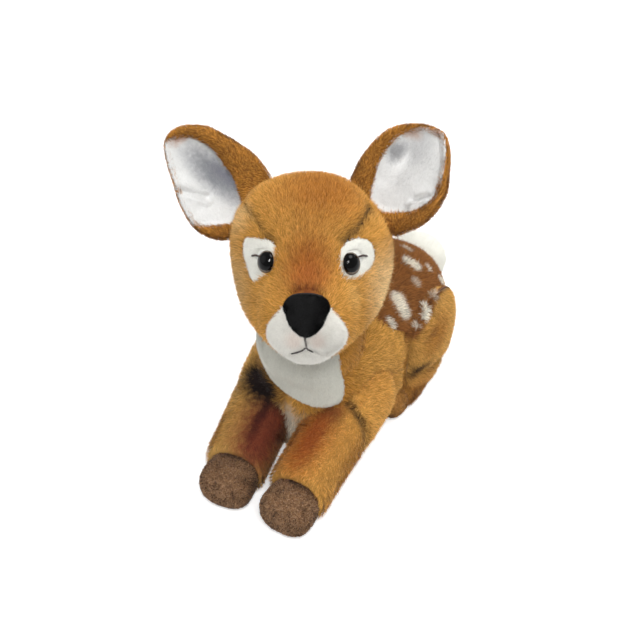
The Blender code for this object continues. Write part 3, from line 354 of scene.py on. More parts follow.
frontLegLook = {
    "shoulder": 0.0235, "leg": 0.0207, "cuffPlace": (0, -0.0805, -0.02225), "inset": 0.0021,
    # share of the way down, then how much of the shoulder's fullness is left, and the leg's own size there
    "taper": ((0, 1, 1), (.22, .88, 1), (.42, .45, 1), (.60, .15, 1), (.80, 0, 1), (.93, 0, 1), (.975, 0, .99),
              (.992, 0, .96), (1.0, 0, .88)),
    "pile": {"count": 36000, "length": 0.0040},
}
frontHoofLook = {
    "profile": ((-76, 14.5), (-78, 15), (-81, 15.7), (-85.5, 16.3), (-90.5, 16.5), (-95, 16),
                (-98, 14.4), (-100, 11.3), (-101.2, 7.4), (-101.6, 3)),
    "z": -0.0250, "heightShare": 0.88, "cuffY": 0.0760, "length": 0.0256,
    "pile": {"count": 15000, "length": 0.0016, "width": 0.00048, "lean": 34, "spread": 80, "curl": 1.0},
}


def frontLegRings(look, rows=100, sides=90):
    end = Vector(look["cuffPlace"])
    length = end.length
    straight = np.array(end.normalized())
    ball, leg = look["shoulder"], look["leg"]
    angle = np.linspace(0.06, math.pi / 2, 26)
    share = np.linspace(0, 1, rows)[1:]
    table = [(place, leg * size + full * (ball - leg)) for place, full, size in look["taper"]]
    rings = []
    for s, r in zip([*(-ball * np.cos(angle)), *(share * length)], [*(ball * np.sin(angle)), *smoothCurve(table, share)]):
        level = float(smoothStep(0.80, 1.0, s / length))
        aim = unit(straight * (1 - level) + np.array((0, -1.0, 0)) * level)
        across = unit(np.cross(aim, (0, 0, 1.0)))
        x, z = ovalRing(around(sides), r, r, r, 2.2, 2.2)
        rings.append(straight * s + x[:, None] * across + z[:, None] * np.cross(across, aim))
    return np.array(rings)


def radiusAlong(profile, y):
    # the profile's places run backwards along y, in millimetres
    return smoothCurve([(-place * mm, r * mm) for place, r in profile], -y)[:, None]


def frontHoofRings(look, rows=44, sides=80):
    y = -look["cuffY"] - look["length"] * np.sin(np.linspace(0, math.pi / 2, rows))
    radius = radiusAlong(look["profile"], y)
    high = radius * look["heightShare"]
    x, z = ovalRing(around(sides), radius, high, high, 2.3, 2.6)
    return joined(x, y[:, None], look["z"] + z)


for side, _ in bothSides:
    body = "front_leg_" + side
    skins[body] = makeSkin(frontLegRings(frontLegLook), body, shoulderPlaces[side], frontLegLook["inset"])
    skins["front_hoof_" + side] = makeSkin(frontHoofRings(frontHoofLook), body, shoulderPlaces[side])

# Haunches, and the folded hind legs under them

haunchLook = {
    "y": 0.058, "radius": 0.038, "innerX": 0.038, "outerX": 0.0545, "inset": 0.0019,
    "profile": ((0, .90), (.10, .96), (.22, .99), (.45, 1.0), (.66, .86), (.82, .66), (.94, .40), (1, .04)),
    # in millimetres
    "crease": ((48, 15, 42), (50, 23.5, 38.5), (52.5, 31, 33), (54, 42, 25.5), (53, 56, 19), (50, 72, 14)),
    "pile": {"count": 26000, "length": 0.0042},
}
hindLegLook = {
    "x": 0.0385, "z": 0.0115, "pile": {"count": 9000, "length": 0.0034},
    "profile": ((53, 3), (52, 6), (49, 9), (44, 10.6), (35, 11), (28, 10.6), (25, 9.8), (23.8, 8.8)),
}
hindHoofLook = {
    "x": 0.0385, "z": 0.0096,
    "profile": ((25.5, 8), (22.5, 8.6), (18, 9.2), (13, 8.8), (9.5, 7.4), (7, 5), (5.8, 2)),
    "pile": {**frontHoofLook["pile"], "count": 3500, "length": 0.0012},
}


def haunchRings(look, sign, rows=60, sides=110):
    share = 0.5 - 0.5 * np.cos(np.linspace(0, math.pi, rows))
    radius = (look["radius"] * smoothCurve(look["profile"], share))[:, None]
    x = look["innerX"] + (look["outerX"] - look["innerX"]) * share
    return joined(sign * x[:, None], look["y"] + radius * np.cos(around(sides)),
                  look["radius"] - 0.0005 + radius * np.sin(around(sides)))


def tubeAlongY(look, sign, rows, sides):
    y = np.linspace(look["profile"][0][0] * mm, look["profile"][-1][0] * mm, rows)
    radius = radiusAlong(look["profile"], y)
    x, z = ovalRing(around(sides), radius, radius, radius, 2.2, 2.2)
    return joined(sign * look["x"] + x, y[:, None], look["z"] + z)


for side, sign in bothSides:
    body = "hind_leg_" + side
    skins["haunch_" + side] = makeSkin(haunchRings(haunchLook, sign), body, inset=haunchLook["inset"])
    skins[body] = makeSkin(tubeAlongY(hindLegLook, sign, 40, 60), body)
    skins["hind_hoof_" + side] = makeSkin(tubeAlongY(hindHoofLook, sign, 30, 50), body)

# Tail puff

tailLook = {
    "root": (-0.0034, 0.1135, 0.036), "riseDeg": 9.0, "inset": 0.0036, "wide": 1.16, "high": 0.92, "drop": 0.0044,
    # along it and its radius, in millimetres
    "profile": ((-10.9, .8), (-10, 4.5), (-7, 8.5), (-2, 10.8), (6.2, 12.1), (13.4, 16.5), (22.2, 18.8), (30, 18), (36, 15),
                (40.5, 10.5), (43, 6.2), (44.1, 1.5)),
    "pile": {"count": 46000, "length": 0.0062, "lean": 58, "wander": 0.4, "spread": 24, "width": 0.00042},
}


def tailRings(look, rows=70, sides=80):
    profile = np.array(look["profile"]) * mm
    s = profile[0][0] + (profile[-1][0] - profile[0][0]) * (0.5 - 0.5 * np.cos(np.linspace(0, math.pi, rows)))
    radius = smoothCurve(profile, s)[:, None, None]
    rise = math.radians(look["riseDeg"])
    aim, up = np.array((0, math.cos(rise), math.sin(rise))), np.array((0, -math.sin(rise), math.cos(rise)))
    turn = around(sides)[:, None]
    return (np.array(look["root"]) - up * look["drop"] + s[:, None, None] * aim
            + radius * np.cos(turn) * look["wide"] * np.array((1.0, 0, 0)) + radius * np.sin(turn) * look["high"] * up)


skins["tail"] = makeSkin(tailRings(tailLook), "tail", inset=tailLook["inset"])
print("skins shaped:", len(skins))


# Stuffing pressure: each cover swells between its seams in one cloth simulation, and its own fine skin follows

def mirrored(line):
    return [(-x, y, z) for x, y, z in line]


flankSeam = ((41, 30, 70), (44, 60, 66), (40, 95, 60))
legSeams = (((0, -20, -35), (0, -80, -41)), ((-18, -79, -20), (18, -79, -20)))
swellLook = {
    "voxel": 0.005, "frames": 20, "seamReach": 0.006,
    "cloth": {"quality": 6, "mass": 0.2, "tension_stiffness": 20, "compression_stiffness": 20, "bending_stiffness": 2.0,
              "use_pressure": True, "uniform_pressure_force": 4.0, "vertex_group_mass": "seams"},
    # how far each cover may swell in metres, and where its seams hold it in millimetres
    "covers": {
        "torso": (0.0012, (((-30, -50, 100), (-31, -54, 60), (4, -56.5, 50), (32, -52, 62), (31, -48, 100)),
                           flankSeam, mirrored(flankSeam), ((0, -30, 0), (0, 110, 0)))),
        "head": (0.0010, (headLook["brows"]["right"], headLook["brows"]["left"], ((0, 10, 48), (0, 44, 10), (0, 30, -30)))),
        "front_leg_left": (0.0010, legSeams),
        "front_leg_right": (0.0010, legSeams),
        "haunch_left": (0.0012, (haunchLook["crease"],)),
        "haunch_right": (0.0012, (mirrored(haunchLook["crease"]),)),
        "tail": (0.0010, (((0, 108, 34), (0, 118, 37)),)),
    },
}


def addObject(name, data):
    made = bpy.data.objects.new(name, data)
    bpy.context.scene.collection.objects.link(made)
    return made


def swellCovers(look):
    scene = bpy.context.scene
    cages = {}
    for name, (cap, seams) in look["covers"].items():
        skin = skins[name]
        mesh = bpy.data.meshes.new("cage_" + name)
        mesh.from_pydata(toWorld(skin["matrix"], skin["points"]).tolist(), [], skin["quads"].tolist() + skin["caps"])
        cage = addObject("cage_" + name, mesh)
        remesh = cage.modifiers.new("remesh", "REMESH")
        remesh.mode = "VOXEL"
        remesh.voxel_size = look["voxel"]
        bpy.context.view_layer.update()
        even = bpy.data.meshes.new_from_object(cage.evaluated_get(bpy.context.evaluated_depsgraph_get()))
        cage.modifiers.clear()
        cage.data = even
        start = np.array([v.co for v in even.vertices])
        seamLines = [toWorld(skin["matrix"], np.array(seam) * mm) for seam in seams]
        held = np.max([np.exp(-(lineDistance(start, line) / look["seamReach"]) ** 2) for line in seamLines], axis=0)
        group = cage.vertex_groups.new(name="seams")
        for i in np.flatnonzero(held > 0.02):
            group.add([int(i)], float(held[i]), "REPLACE")
        cloth = cage.modifiers.new("cloth", "CLOTH")
        for key, value in look["cloth"].items():
            setattr(cloth.settings, key, value)
        cloth.settings.effector_weights.gravity = 0
        cages[name] = (cage, start, cap)
    for number in range(1, look["frames"] + 1):
        scene.frame_set(number)
    depsgraph = bpy.context.evaluated_depsgraph_get()
    for name, (cage, start, cap) in cages.items():
        done = cage.evaluated_get(depsgraph).to_mesh()
        move = np.array([v.co for v in done.vertices]) - start
        size = np.linalg.norm(move, axis=1, keepdims=True)
        move *= np.minimum(1, cap / np.maximum(size, 1e-9))
        tree = KDTree(len(start))
        for i, place in enumerate(start):
            tree.insert(place, i)
        tree.balance()
        skin = skins[name]
        world = toWorld(skin["matrix"], skin["points"])
        outward = skin["normals"] @ np.array(skin["matrix"])[:3, :3].T
        for k, place in enumerate(world):
            _, number, away = zip(*tree.find_n(place, 5))
            weights = 1 / (0.0008 + np.array(away))
            shift = (move[list(number)] * weights[:, None]).sum(axis=0) / weights.sum()
            world[k] = place + outward[k] * float(shift @ outward[k])
        skin["points"] = toLocal(skin["matrix"], world)
        renew(skin)
        cage.evaluated_get(depsgraph).to_mesh_clear()
        print("swelled", name, "by up to %.2f mm" % (1000 * float(np.minimum(size, cap).max())))
        bpy.data.objects.remove(cage)
    scene.frame_set(1)


swellCovers(swellLook)


# Sculpting after the swelling: sockets, brows, creases and resting places, in millimetres

head, torso = skins["head"], skins["torso"]
for _, sign in bothSides:
    press(head, (sign * 35, -36, 8), (11, 20, 13), (-sign * .6, 2.8, 0))      # the face falls away at the eyes
    press(head, (sign * 21, -24, 30), (12, 16, 8), 1.0)      # brow pads
for centre, reach, amount in (
        ((0, -44, 16), (15, 18, 16), (0, -1.2, .4)),      # bridge of the nose
        ((0, -18, 42), (20, 22, 20), 1.2),      # forehead panel
        ((34, -20, -24), (20, 20, 20), 1.0), ((-34, -20, -24), (20, 20, 20), .6),      # cheeks
        ((0, -4, 49), (50, 40, 12), -2.6), ((38, -4, 36), (18, 30, 16), -6.0),      # crown
        ((-49, -10, -12), (20, 30, 22), -2.6), ((47, -6, -20), (18, 30, 20), -1.4)):      # sides of the head
    press(head, centre, reach, amount)
renew(head)
faceTree = ownTree(head)
for side, width, depth in (("right", 2.3, 3.0), ("left", 3.4, 1.4)):
    line = [faceTree.find_nearest(Vector(place) * mm)[0] / mm for place in headLook["brows"][side]]
    crease(head, line, width, depth, 0.35)

for side, sign in bothSides:
    haunch = skins["haunch_" + side]
    crease(haunch, haunchLook["crease"] if sign > 0 else mirrored(haunchLook["crease"]), 3.4, 5.0, 0.4)
    press(haunch, (sign * 50, 34, 20), (20, 14, 10), 1.2)
    press(haunch, (sign * 48, 76, 66), (10, 18, 12), -2.2)
    renew(haunch)

    press(torso, (sign * 45, 10, 50), (16, 16, 26), 1.4)
    press(torso, (sign * 45, 31, 45), (14, 11, 30), -1.4)
    torso["pile"] = torso["pile"] * (1 - 0.6 * near(torso["points"], (sign * 0.045, 0.020, 0.055), (0.014, 0.016, 0.034)))

    leg = skins["front_leg_" + side]
    press(leg, (0, -58, 6), (30, 20, 30), .6)
    crease(leg, ((4.5, -34, 16.5), (6, -56, 8.5), (7, -76, .5)), 1.6, .7, 0.25)
    # the chest's fur ends over the leg here
    turns = np.linspace(-1.9, 1.9, 14)
    cuff = joined(23 * np.sin(turns), -24.5 - 4 * sign * np.sin(turns), -7 + 21.5 * np.cos(turns))
    crease(leg, cuff, 3.0, 1.6, 0.15)
renew(torso)

limbs = ["front_leg_left", "front_leg_right", "haunch_left", "haunch_right"]
trees = {name: worldTree(skins[name]) for name in ["neck", *limbs, "tail"]}


# Sewn panels: a closed pad whose edge follows its seam line on the skin below

def surfaceTree(*names):
    points, faces, base = [], [], 0
    for name in names:
        world = toWorld(skins[name]["matrix"], skins[name]["points"])
        points += world.tolist()
        faces += (skins[name]["quads"] + base).tolist()
        base += len(world)
    return BVHTree.FromPolygons(points, faces)


def makePad(grid, outward, look, body="torso", matrix=identity):
    # grid is (rings, sides, 3) from the middle to the edge; the pad's edge dips and closes underneath
    share = np.linspace(0, 1, len(grid))
    lift = look["rise"] * np.minimum(1, (1 - share) / look.get("edge", 0.18)) ** 0.6 - 0.0004 * smoothStep(0.9, 1.0, share)
    under = (grid - outward * look["thickness"])[::-1][::4]
    skin = makeSkin(np.concatenate([grid + outward * lift[:, None, None], under]), body, matrix, outward=outward)
    skin["front"] = (0, grid.shape[0] * grid.shape[1])
    return skin


def mound(x, z, place, reach):
    return np.exp(-(((x - place[0]) / reach[0]) ** 2 + ((z - place[1]) / reach[1]) ** 2))


muzzleLook = {
    "centre": (0, -0.052, -0.0245), "radii": (0.0210, 0.0250, 0.0240), "rise": 0.0006, "thickness": 0.0012,
    "pile": {"count": 46000, "length": 0.0034, "width": 0.00028, "lean": 42, "spread": 30, "wander": 0.7},
}


def muzzleSkin(look, rings=46, sides=110):
    tree = BVHTree.FromPolygons(head["points"].tolist(), head["quads"].tolist() + head["caps"])
    origin = Vector((0, -0.038, -0.0235))
    centre, radii = np.array(look["centre"]), np.array(look["radii"])

    def reach(turn, swing):
        way = Vector((math.sin(swing) * math.cos(turn), -math.cos(swing), math.sin(swing) * math.sin(turn)))
        hit = tree.ray_cast(origin, way)[0]
        place = np.array(hit) - centre
        place[0] /= 1 - 0.30 * smoothStep(0.004, 0.020, -place[2])
        return hit, ((place / radii) ** 2).sum()

    grid = np.zeros((rings, sides, 3))
    for k, turn in enumerate(around(sides)):
        low, high = 0.1, math.radians(118)
        for _ in range(18):
            swing = (low + high) / 2
            low, high = (swing, high) if reach(turn, swing)[1] < 1 else (low, swing)
        for r in range(rings):
            grid[r, k] = reach(turn, low * (0.01 + 0.99 * r / (rings - 1)))[0]
    outward = unit(grid - np.array(origin))
    x, z = grid[..., 0], grid[..., 2]
    lobes = 0.0034 * sum(mound(x, z, (sign * .0120, -.0225), (.0082, .0090)) for _, sign in bothSides)
    chin = 0.0016 * mound(x, z, (0, -.0410), (.010, .0050))
    parting = 0.0016 * np.exp(-(x / .0013) ** 2) * smoothStep(-.0310, -.0285, z)
    mouth = np.abs(z + .0288 + .62 * np.maximum(0, np.abs(x) - .0004)) + 10 * np.maximum(0, np.abs(x) - .0105)
    lip = 0.0013 * np.exp(-(mouth / .0016) ** 2)
    edge = 1 - smoothStep(0.80, 1.0, np.linspace(0, 1, rings))[:, None]
    grid = grid + outward * ((lobes + chin) * edge - parting - lip * edge)[..., None]
    return makePad(grid, outward, look, "head", headPlace)


skins["muzzle"] = muzzleSkin(muzzleLook)


# Eye patches, each with the outline it has on its own side, in millimetres

patchLook = {
    "right": ((-37.2, 15), (-35, 18.2), (-28.5, 19), (-21.5, 18.2), (-18, 16), (-18, 11), (-20.5, 5.5),
              (-25, 0), (-29.6, -4.2), (-33, -1.5), (-35.8, 4), (-37.4, 9.5)),
    "left": ((16.6, 9.4), (17.4, 15), (21.2, 18.8), (27.5, 19.8), (33.3, 17.2), (36.2, 11.2), (35.6, 6),
             (31.8, 2), (26.2, .4), (21.2, 1.2), (17.6, 4.4)),
    "rise": 0.0005, "thickness": 0.0010, "pile": {"count": 7000, "length": 0.0026, "width": 0.00034, "lean": 50},
}


def patchSkin(outline, look, rings=18, sides=64):
    tree = ownTree(head)
    loop = smoothLoop(outline, sides) * mm
    middle = loop.mean(axis=0)
    grid, outward = np.zeros((rings, sides, 3)), np.zeros((rings, sides, 3))
    for r, k in np.ndindex(rings, sides):
        x, z = middle + (loop[k] - middle) * (0.02 + 0.98 * r / (rings - 1))
        grid[r, k], outward[r, k] = fromFront(tree, x, z)
    return makePad(grid, outward, look, "head", headPlace)


for side, _ in bothSides:
    skins["eye_patch_" + side] = patchSkin(patchLook[side], patchLook)


# Bib, one white panel from the chest up the throat

bibLook = {
    "axis": (0, -0.012), "centre": (0, 0.086), "flatRadius": 0.04, "rise": 0.0010, "thickness": 0.0014, "edge": 0.10,
    "pile": {"count": 30000, "length": 0.0022, "width": 0.00034, "lean": 62},
    # round the axis in degrees, and up in millimetres
    "outline": ((-51, 96), (-52, 86), (-49, 78.5), (-40, 72.2), (-27, 67.2), (-9, 62), (10, 57.2), (24, 54.5),
                (36, 54.5), (45, 57.5), (47, 68), (44, 80), (42.5, 93), (38, 110), (22, 122), (0, 124.5),
                (-24, 122), (-43, 111)),
}


def insideLoop(points, loop):
    x, z = points[:, 0], points[:, 2]
    inside = np.zeros(len(points), bool)
    for (ax, az), (bx, bz) in zip(loop, np.roll(loop, -1, axis=0)):
        crosses = (az > z) != (bz > z)
        inside ^= crosses & (x < (bx - ax) * (z - az) / (bz - az + 1e-15) + ax)
    return inside


def bibLoop(count):
    return smoothLoop([(math.radians(turn) * bibLook["flatRadius"], z * mm) for turn, z in bibLook["outline"]], count)


def onBib(points, spare=0.0):
    # whether places on chest and throat lie under the bib, by so much inside its edge
    across, forward = bibLook["axis"]
    turn = np.arctan2(points[:, 0] - across, forward - points[:, 1])
    centre = np.array((0.0, bibLook["centre"][1]))
    return insideLoop(joined(turn * bibLook["flatRadius"], 0, points[:, 2]), centre + (bibLoop(80) - centre) * (1 - spare))


def bibSkin(look, rings=60, sides=120):
    tree = surfaceTree("torso", "neck")
    axis, centre = look["axis"], np.array(look["centre"])
    share = 0.01 + 0.99 * np.linspace(0, 1, rings)[:, None, None]
    flat = centre + (bibLoop(sides)[None] - centre) * share
    angle, height = flat[..., 0] / look["flatRadius"], flat[..., 1]
    reach = np.zeros((rings, sides))
    for index in np.ndindex(rings, sides):
        way = Vector((math.sin(angle[index]), -math.cos(angle[index]), 0))
        hit = tree.ray_cast(Vector((axis[0], axis[1], height[index])) + way * 0.2, -way)
        reach[index] = max(0.2 - hit[3], 0.024) if hit[0] is not None else 0.030
    for _ in range(160):
        # the panel bridges the fold between chest and neck
        blurred = reach.copy()
        blurred[1:-1] = (reach[:-2] + 2 * reach[1:-1] + reach[2:]) / 4
        blurred = (np.roll(blurred, 1, axis=1) + 2 * blurred + np.roll(blurred, -1, axis=1)) / 4
        reach = np.maximum(reach, blurred)
    outward = joined(np.sin(angle), -np.cos(angle), 0)
    return makePad(joined(*axis, height) + outward * reach[..., None], outward, look)


skins["bib"] = bibSkin(bibLook)


# Back panel, chocolate with dyed white spots

backLook = {
    "centre": (0, 0.058), "halfWidth": 0.0435, "halfLength": 0.0555, "power": 2.4, "above": 0.05, "rise": 0.0008,
    "thickness": 0.0012, "edge": 0.06, "pile": {"count": 34000, "length": 0.0040},
    # ends of each spot and its half width in millimetres, then how white it is; the seen side first
    "spots": (
        ((12.5, 74, 83.5), (26.5, 74.5, 77.8), 4.2, 1.0), ((24.9, 85.6, 75.7), (30.5, 83.2, 72.4), 2, .9),
        ((34.7, 87.5, 66.4), (36.6, 94, 56), 3, 1.0), ((25.9, 62.3, 80.2), (32.5, 60.8, 76), 3, .45),
        ((23, 40, 83), (37.5, 32.2, 71.5), 5.4, 1.0), ((43, 51, 73), (47, 41, 68), 2, 1.0),
        ((40.4, 69, 72.5), (45, 58, 74.5), 2.4, .45), ((43.5, 37, 68.9), (45.3, 32.8, 65.5), 2, .9),
        ((42, 29.8, 63.1), (43.6, 22.2, 59.2), 2.6, .95), ((28.5, 18.7, 81), (36.6, 18.8, 72.8), 2.6, .95),
        ((5, 89.7, 80.3), (13.5, 88.8, 79), 2.4, .6), ((8, 30, 87), (10.5, 42, 86), 3, .8),
        ((-12, 78, 83.5), (-25.5, 75, 78.5), 4.2, 1.0), ((-24, 90, 74.5), (-30, 88, 71.5), 2.2, .9),
        ((-34, 86, 66.4), (-36.6, 95, 57), 3, .9), ((-25, 60, 80.5), (-33, 59, 75.5), 3.2, .8),
        ((-21, 38, 84), (-37.5, 33, 71.5), 4.4, 1.0), ((-43, 54, 74), (-47.8, 42, 68), 3.4, 1.0),
        ((-41.5, 70, 72.2), (-45, 60, 74), 2.4, .7), ((-42, 29, 64), (-43.6, 21.5, 60), 2.6, .95),
        ((-27, 17, 82), (-36, 18, 73.5), 2.6, .95), ((-6, 56, 86.5), (-8, 64, 86), 2.8, .8),
        ((-9, 23, 88.5), (-12, 15, 90), 2.4, .7), ((8, 56, 86.2), (10, 62, 85.8), 2.2, .7),
    ),
}


def backSkin(look, rings=60, sides=130):
    tree = surfaceTree("torso")
    x, y = ovalRing(around(sides), look["halfWidth"], look["halfLength"], look["halfLength"], look["power"], look["power"])
    grid, outward = np.zeros((rings, sides, 3)), np.zeros((rings, sides, 3))
    for r, k in np.ndindex(rings, sides):
        share = 0.01 + 0.99 * r / (rings - 1)
        start = Vector((x[k] * share, look["centre"][1] + y[k] * share, 0.2))
        grid[r, k], outward[r, k] = tree.ray_cast(start, Vector((0, 0, -1)))[:2]
    return makePad(grid, outward, look)


def spotShare(points):
    # how white the dyed spots are at points in the row frame
    share = np.zeros(len(points))
    for a, b, half, white in backLook["spots"]:
        a, b, half = np.array(a) * mm, np.array(b) * mm, half * mm
        middle, reach = (a + b) / 2, (b - a) / 2
        reach = reach * max(0.02, 1 - half / np.linalg.norm(reach))
        away = lineDistance(points, (middle - reach, middle + reach))
        share = np.maximum(share, white * (1 - smoothStep(half * 0.7, half * 1.2, away)))
    return share


# y and z in millimetres
panelEdge = ((10, 90), (18, 60), (26, 57), (40, 65.5), (57, 71.5), (68, 71.2), (80, 68), (95, 57))


def panelShare(points):
    # the chocolate panel runs a little way onto the tops of the haunches
    y = points[:, 1]
    low = np.interp(y, *(np.array(panelEdge) * mm).T)
    return smoothStep(-0.0016, 0.0016, points[:, 2] - low) * smoothStep(0.009, 0.013, y) * (1 - smoothStep(0.104, 0.110, y))


skins["back_panel"] = backSkin(backLook)
print("panels sewn")

# Each form goes round the ones that sit in it

for name, others, gap in (("torso", list(trees), 0.0006), ("back_panel", limbs[2:], 0.0004), ("bib", limbs[:2], 0.0004)):
    for other in others:
        yieldTo(skins[name], trees[other], gap)
points = torso["points"]
under = np.maximum(panelShare(points) * (points[:, 2] > backLook["above"]), onBib(points, 0.06))
torso["points"] = points - torso["normals"] * (0.0014 * under)[:, None]
yieldTo(head, trees["neck"], 0.0006)
for side, _ in bothSides:
    yieldTo(skins["hind_leg_" + side], trees["haunch_" + side], 0.0004)
for skin in skins.values():
    restOnFloor(skin)
    renew(skin)
print("skins seated")


# Ears: a plump cupped leaf with its brown edge rolled forward, and a lining that sinks into it

earLook = {
    # across and up from the root in millimetres; the first of each pair is positive towards the top of the head
    "outline": {
        "right": ((-1, 60), (5.1, 60), (11.2, 56.8), (18, 49.3), (20.6, 43.6), (22.4, 35.5), (24.2, 26.1), (25.2, 15.9),
                  (24, 6.4), (21.5, -2.8), (17, -8), (6, -9.5), (-9, -9.5), (-19.5, -9), (-24.5, -5.6),
                  (-28.5, -.2), (-30.5, 5.6), (-31.3, 11), (-30.5, 16.5), (-28.3, 23), (-25.2, 30.2), (-19.8, 38.3),
                  (-15.2, 45.6), (-10.2, 52.4), (-5.8, 57.8)),
        "left": ((-1.7, 56.4), (4.5, 55.8), (10.5, 53.6), (18.5, 47.8), (22, 43.8), (25, 38.6), (26.7, 31.9), (27.4, 23.8),
                 (26.7, 13.5), (25, 5.6), (22.9, -1.9), (18, -8), (6, -9.5), (-9, -9.5), (-19.9, -7.8),
                 (-24.9, -1), (-29.7, 6.2), (-32.1, 13.3), (-32.2, 21.7), (-30.5, 28.1), (-27.7, 33.7), (-21, 41.1),
                 (-13.6, 49), (-7.9, 53.7)),
    },
    "opening": {
        "right": ((-3.6, 56.8), (5, 54.5), (11, 46.4), (12.2, 34.6), (10.2, 26.3), (6.3, 13), (-1, .4), (-8, -3.2),
                  (-14.3, -3), (-21.5, 3.5), (-27, 9), (-29, 14.5), (-27.8, 21.2), (-22.7, 32.2), (-16, 43), (-8.7, 52.7)),
        "left": ((-.1, 54.5), (6.4, 52.4), (11.7, 49.3), (16.3, 44.2), (19, 38.5), (19.6, 32.3), (19.6, 25.9), (17.2, 17.6),
                 (12.7, 7.4), (8, -1.2), (3, -3.4), (-5.7, -1.2), (-16.8, 7.5), (-22.3, 13.8), (-24.9, 18.9),
                 (-26.1, 25.1), (-23.2, 31.8), (-19, 38), (-11.6, 47.4), (-4, 53.6)),
    },
    "fold": {"right": ((-20.5, 33.5), (-16.5, 26.5), (-12.5, 19)), "left": ((-21.5, 22.5), (-18, 19), (-14.5, 15))},
    "inset": 0.0008, "cup": 0.0090, "backFullness": 0.0056, "rimFullness": 0.0026, "heart": (-0.003, 0.024),
    "pile": {"count": 36000, "length": 0.0030, "lean": 56, "width": 0.00034},
    "liningPile": {"count": 22000, "length": 0.0020, "lean": 60, "width": 0.00036},
}


def earMiddle(x, z):
    # the bent sheet that the ear is built round, hollow towards -y
    t = np.clip((z + 0.0012) / 0.0642, 0, 1)
    return -earLook["cup"] * (x / 0.028) ** 2 * (1 - t / 2)


def earSkins(side, look, sides=140, floorRings=8, liningRings=40):
    flip = 1 if side == "right" else -1
    heart = np.array(look["heart"])
    turn = np.linspace(-math.pi, math.pi, sides, endpoint=False)
    way = np.stack([np.cos(turn), np.sin(turn)], -1)
    fold = np.array(look["fold"][side]) * mm

    def radiusAt(outline):
        loop = smoothLoop(outline, sides) * mm - heart
        angle = np.arctan2(*loop.T[::-1])
        order = np.argsort(angle)
        return np.interp(turn, angle[order], np.linalg.norm(loop, axis=1)[order], period=2 * math.pi)

    def ring(radius, lift):
        x, z = (heart + way * radius[:, None]).T
        return joined(flip * x, earMiddle(x, z) + lift, z)

    rOut = radiusAt(look["outline"][side]) - look["inset"]
    rIn = np.minimum(radiusAt(look["opening"][side]), rOut - 0.0009)
    band = rOut - rIn
    # the floor under the lining
    rings = [ring(rIn * share, 0.0046 - 0.0024 * share ** 4) for share in np.linspace(0.05, 1, floorRings)]
    for share in np.linspace(0.02, 1, 16):      # rolled edge, seen from the front
        roll = look["rimFullness"] * np.sin(math.pi * share ** 0.7) ** 0.6 * np.clip(band / 0.004, 0.5, 1.6)
        rings.append(ring(rIn + band * share * 0.97, 0.0022 * (1 - share) - roll - 0.0002))
    for share in np.linspace(0, 1, 34)[1:] * math.pi / 2:      # back, full in its middle
        rings.append(ring(rOut * np.cos(share * 0.985), look["backFullness"] * np.sin(share) ** 0.5 + 0.0006))
    back = makeSkin(rings, "ear_" + side, earPlaces[side])
    back["front"] = (floorRings * sides, len(back["points"]))      # no pile under the lining

    lining = []
    for share in np.linspace(0.03, 1, liningRings):
        flat = heart + way * (rIn * share)[:, None]
        x, z = flat.T
        lift = 0.0024 + 0.0008 * math.cos(share * math.pi / 2) + 0.0030 * mound(x, z, (0.009, 0.028), (0.009, 0.024))
        lift -= 0.0016 * np.exp(-(lineDistance(flat, fold + (-0.0022, -0.0022)) / 0.0024) ** 2)
        lift += 0.0020 * np.exp(-(lineDistance(flat, fold) / 0.0022) ** 2)
        lift += 0.0004 * np.sin(turn * 9 + 1.3) * share ** 3 - 0.0016 * smoothStep(0.86, 1.0, share)
        lining.append(ring(rIn * share * (1 + 0.05 * smoothStep(0.85, 1.0, share)), lift - 0.0022))
    lining += [ring(rIn * share * 0.97, 0.0030) for share in np.linspace(1, 0.05, 8)]
    inner = makeSkin(lining, "ear_" + side, earPlaces[side],
                     outward=np.tile((0.0, -1.0, 0.0), (liningRings * sides, 1)))
    inner["front"] = (0, liningRings * sides)
    return back, inner


for side, _ in bothSides:
    skins["ear_back_" + side], skins["ear_lining_" + side] = earSkins(side, earLook)
print("ears shaped")


# Shader groups, built once and placed in each material with its own values

def feed(tree, socket, value):
    if isinstance(value, bpy.types.NodeSocket):
        tree.links.new(value, socket)
    else:
        socket.default_value = value


def addNode(tree, kind, values=(), **settings):
    node = tree.nodes.new("ShaderNode" + kind)
    for key, value in settings.items():
        setattr(node, key, value)
    for key, value in dict(values).items():
        feed(tree, node.inputs[key], value)
    return node


def newGroup(name, inputs, outputs):
    # a number, a vector of three or a colour of four says what kind an input is
    tree = bpy.data.node_groups.new(name, "ShaderNodeTree")
    for label, value in inputs.items():
        kind = "Float" if isinstance(value, float) else ("Vector", "Color")[len(value) - 3]
        tree.interface.new_socket(label, in_out="INPUT", socket_type="NodeSocket" + kind).default_value = value
    for label, kind in outputs.items():
        tree.interface.new_socket(label, in_out="OUTPUT", socket_type="NodeSocket" + kind)
    return tree, tree.nodes.new("NodeGroupInput").outputs, tree.nodes.new("NodeGroupOutput").inputs


def mixColours(tree, factor, a, b):
    a, b = ((*value, 1) if isinstance(value, tuple) else value for value in (a, b))
    return addNode(tree, "Mix", {0: factor, 6: a, 7: b}, data_type="RGBA").outputs[2]


def maths(tree, operation, total, *values, clamp=False):
    for value in values:
        total = addNode(tree, "Math", {0: total, 1: value}, operation=operation, use_clamp=clamp).outputs[0]
    return total


def noiseOf(tree, place, scale, detail, **more):
    return addNode(tree, "TexNoise", {"Vector": place, "Scale": scale, "Detail": detail, **more}).outputs["Fac"]


def centred(tree, value, strength):
    return maths(tree, "MULTIPLY", maths(tree, "SUBTRACT", value, 0.5), strength)


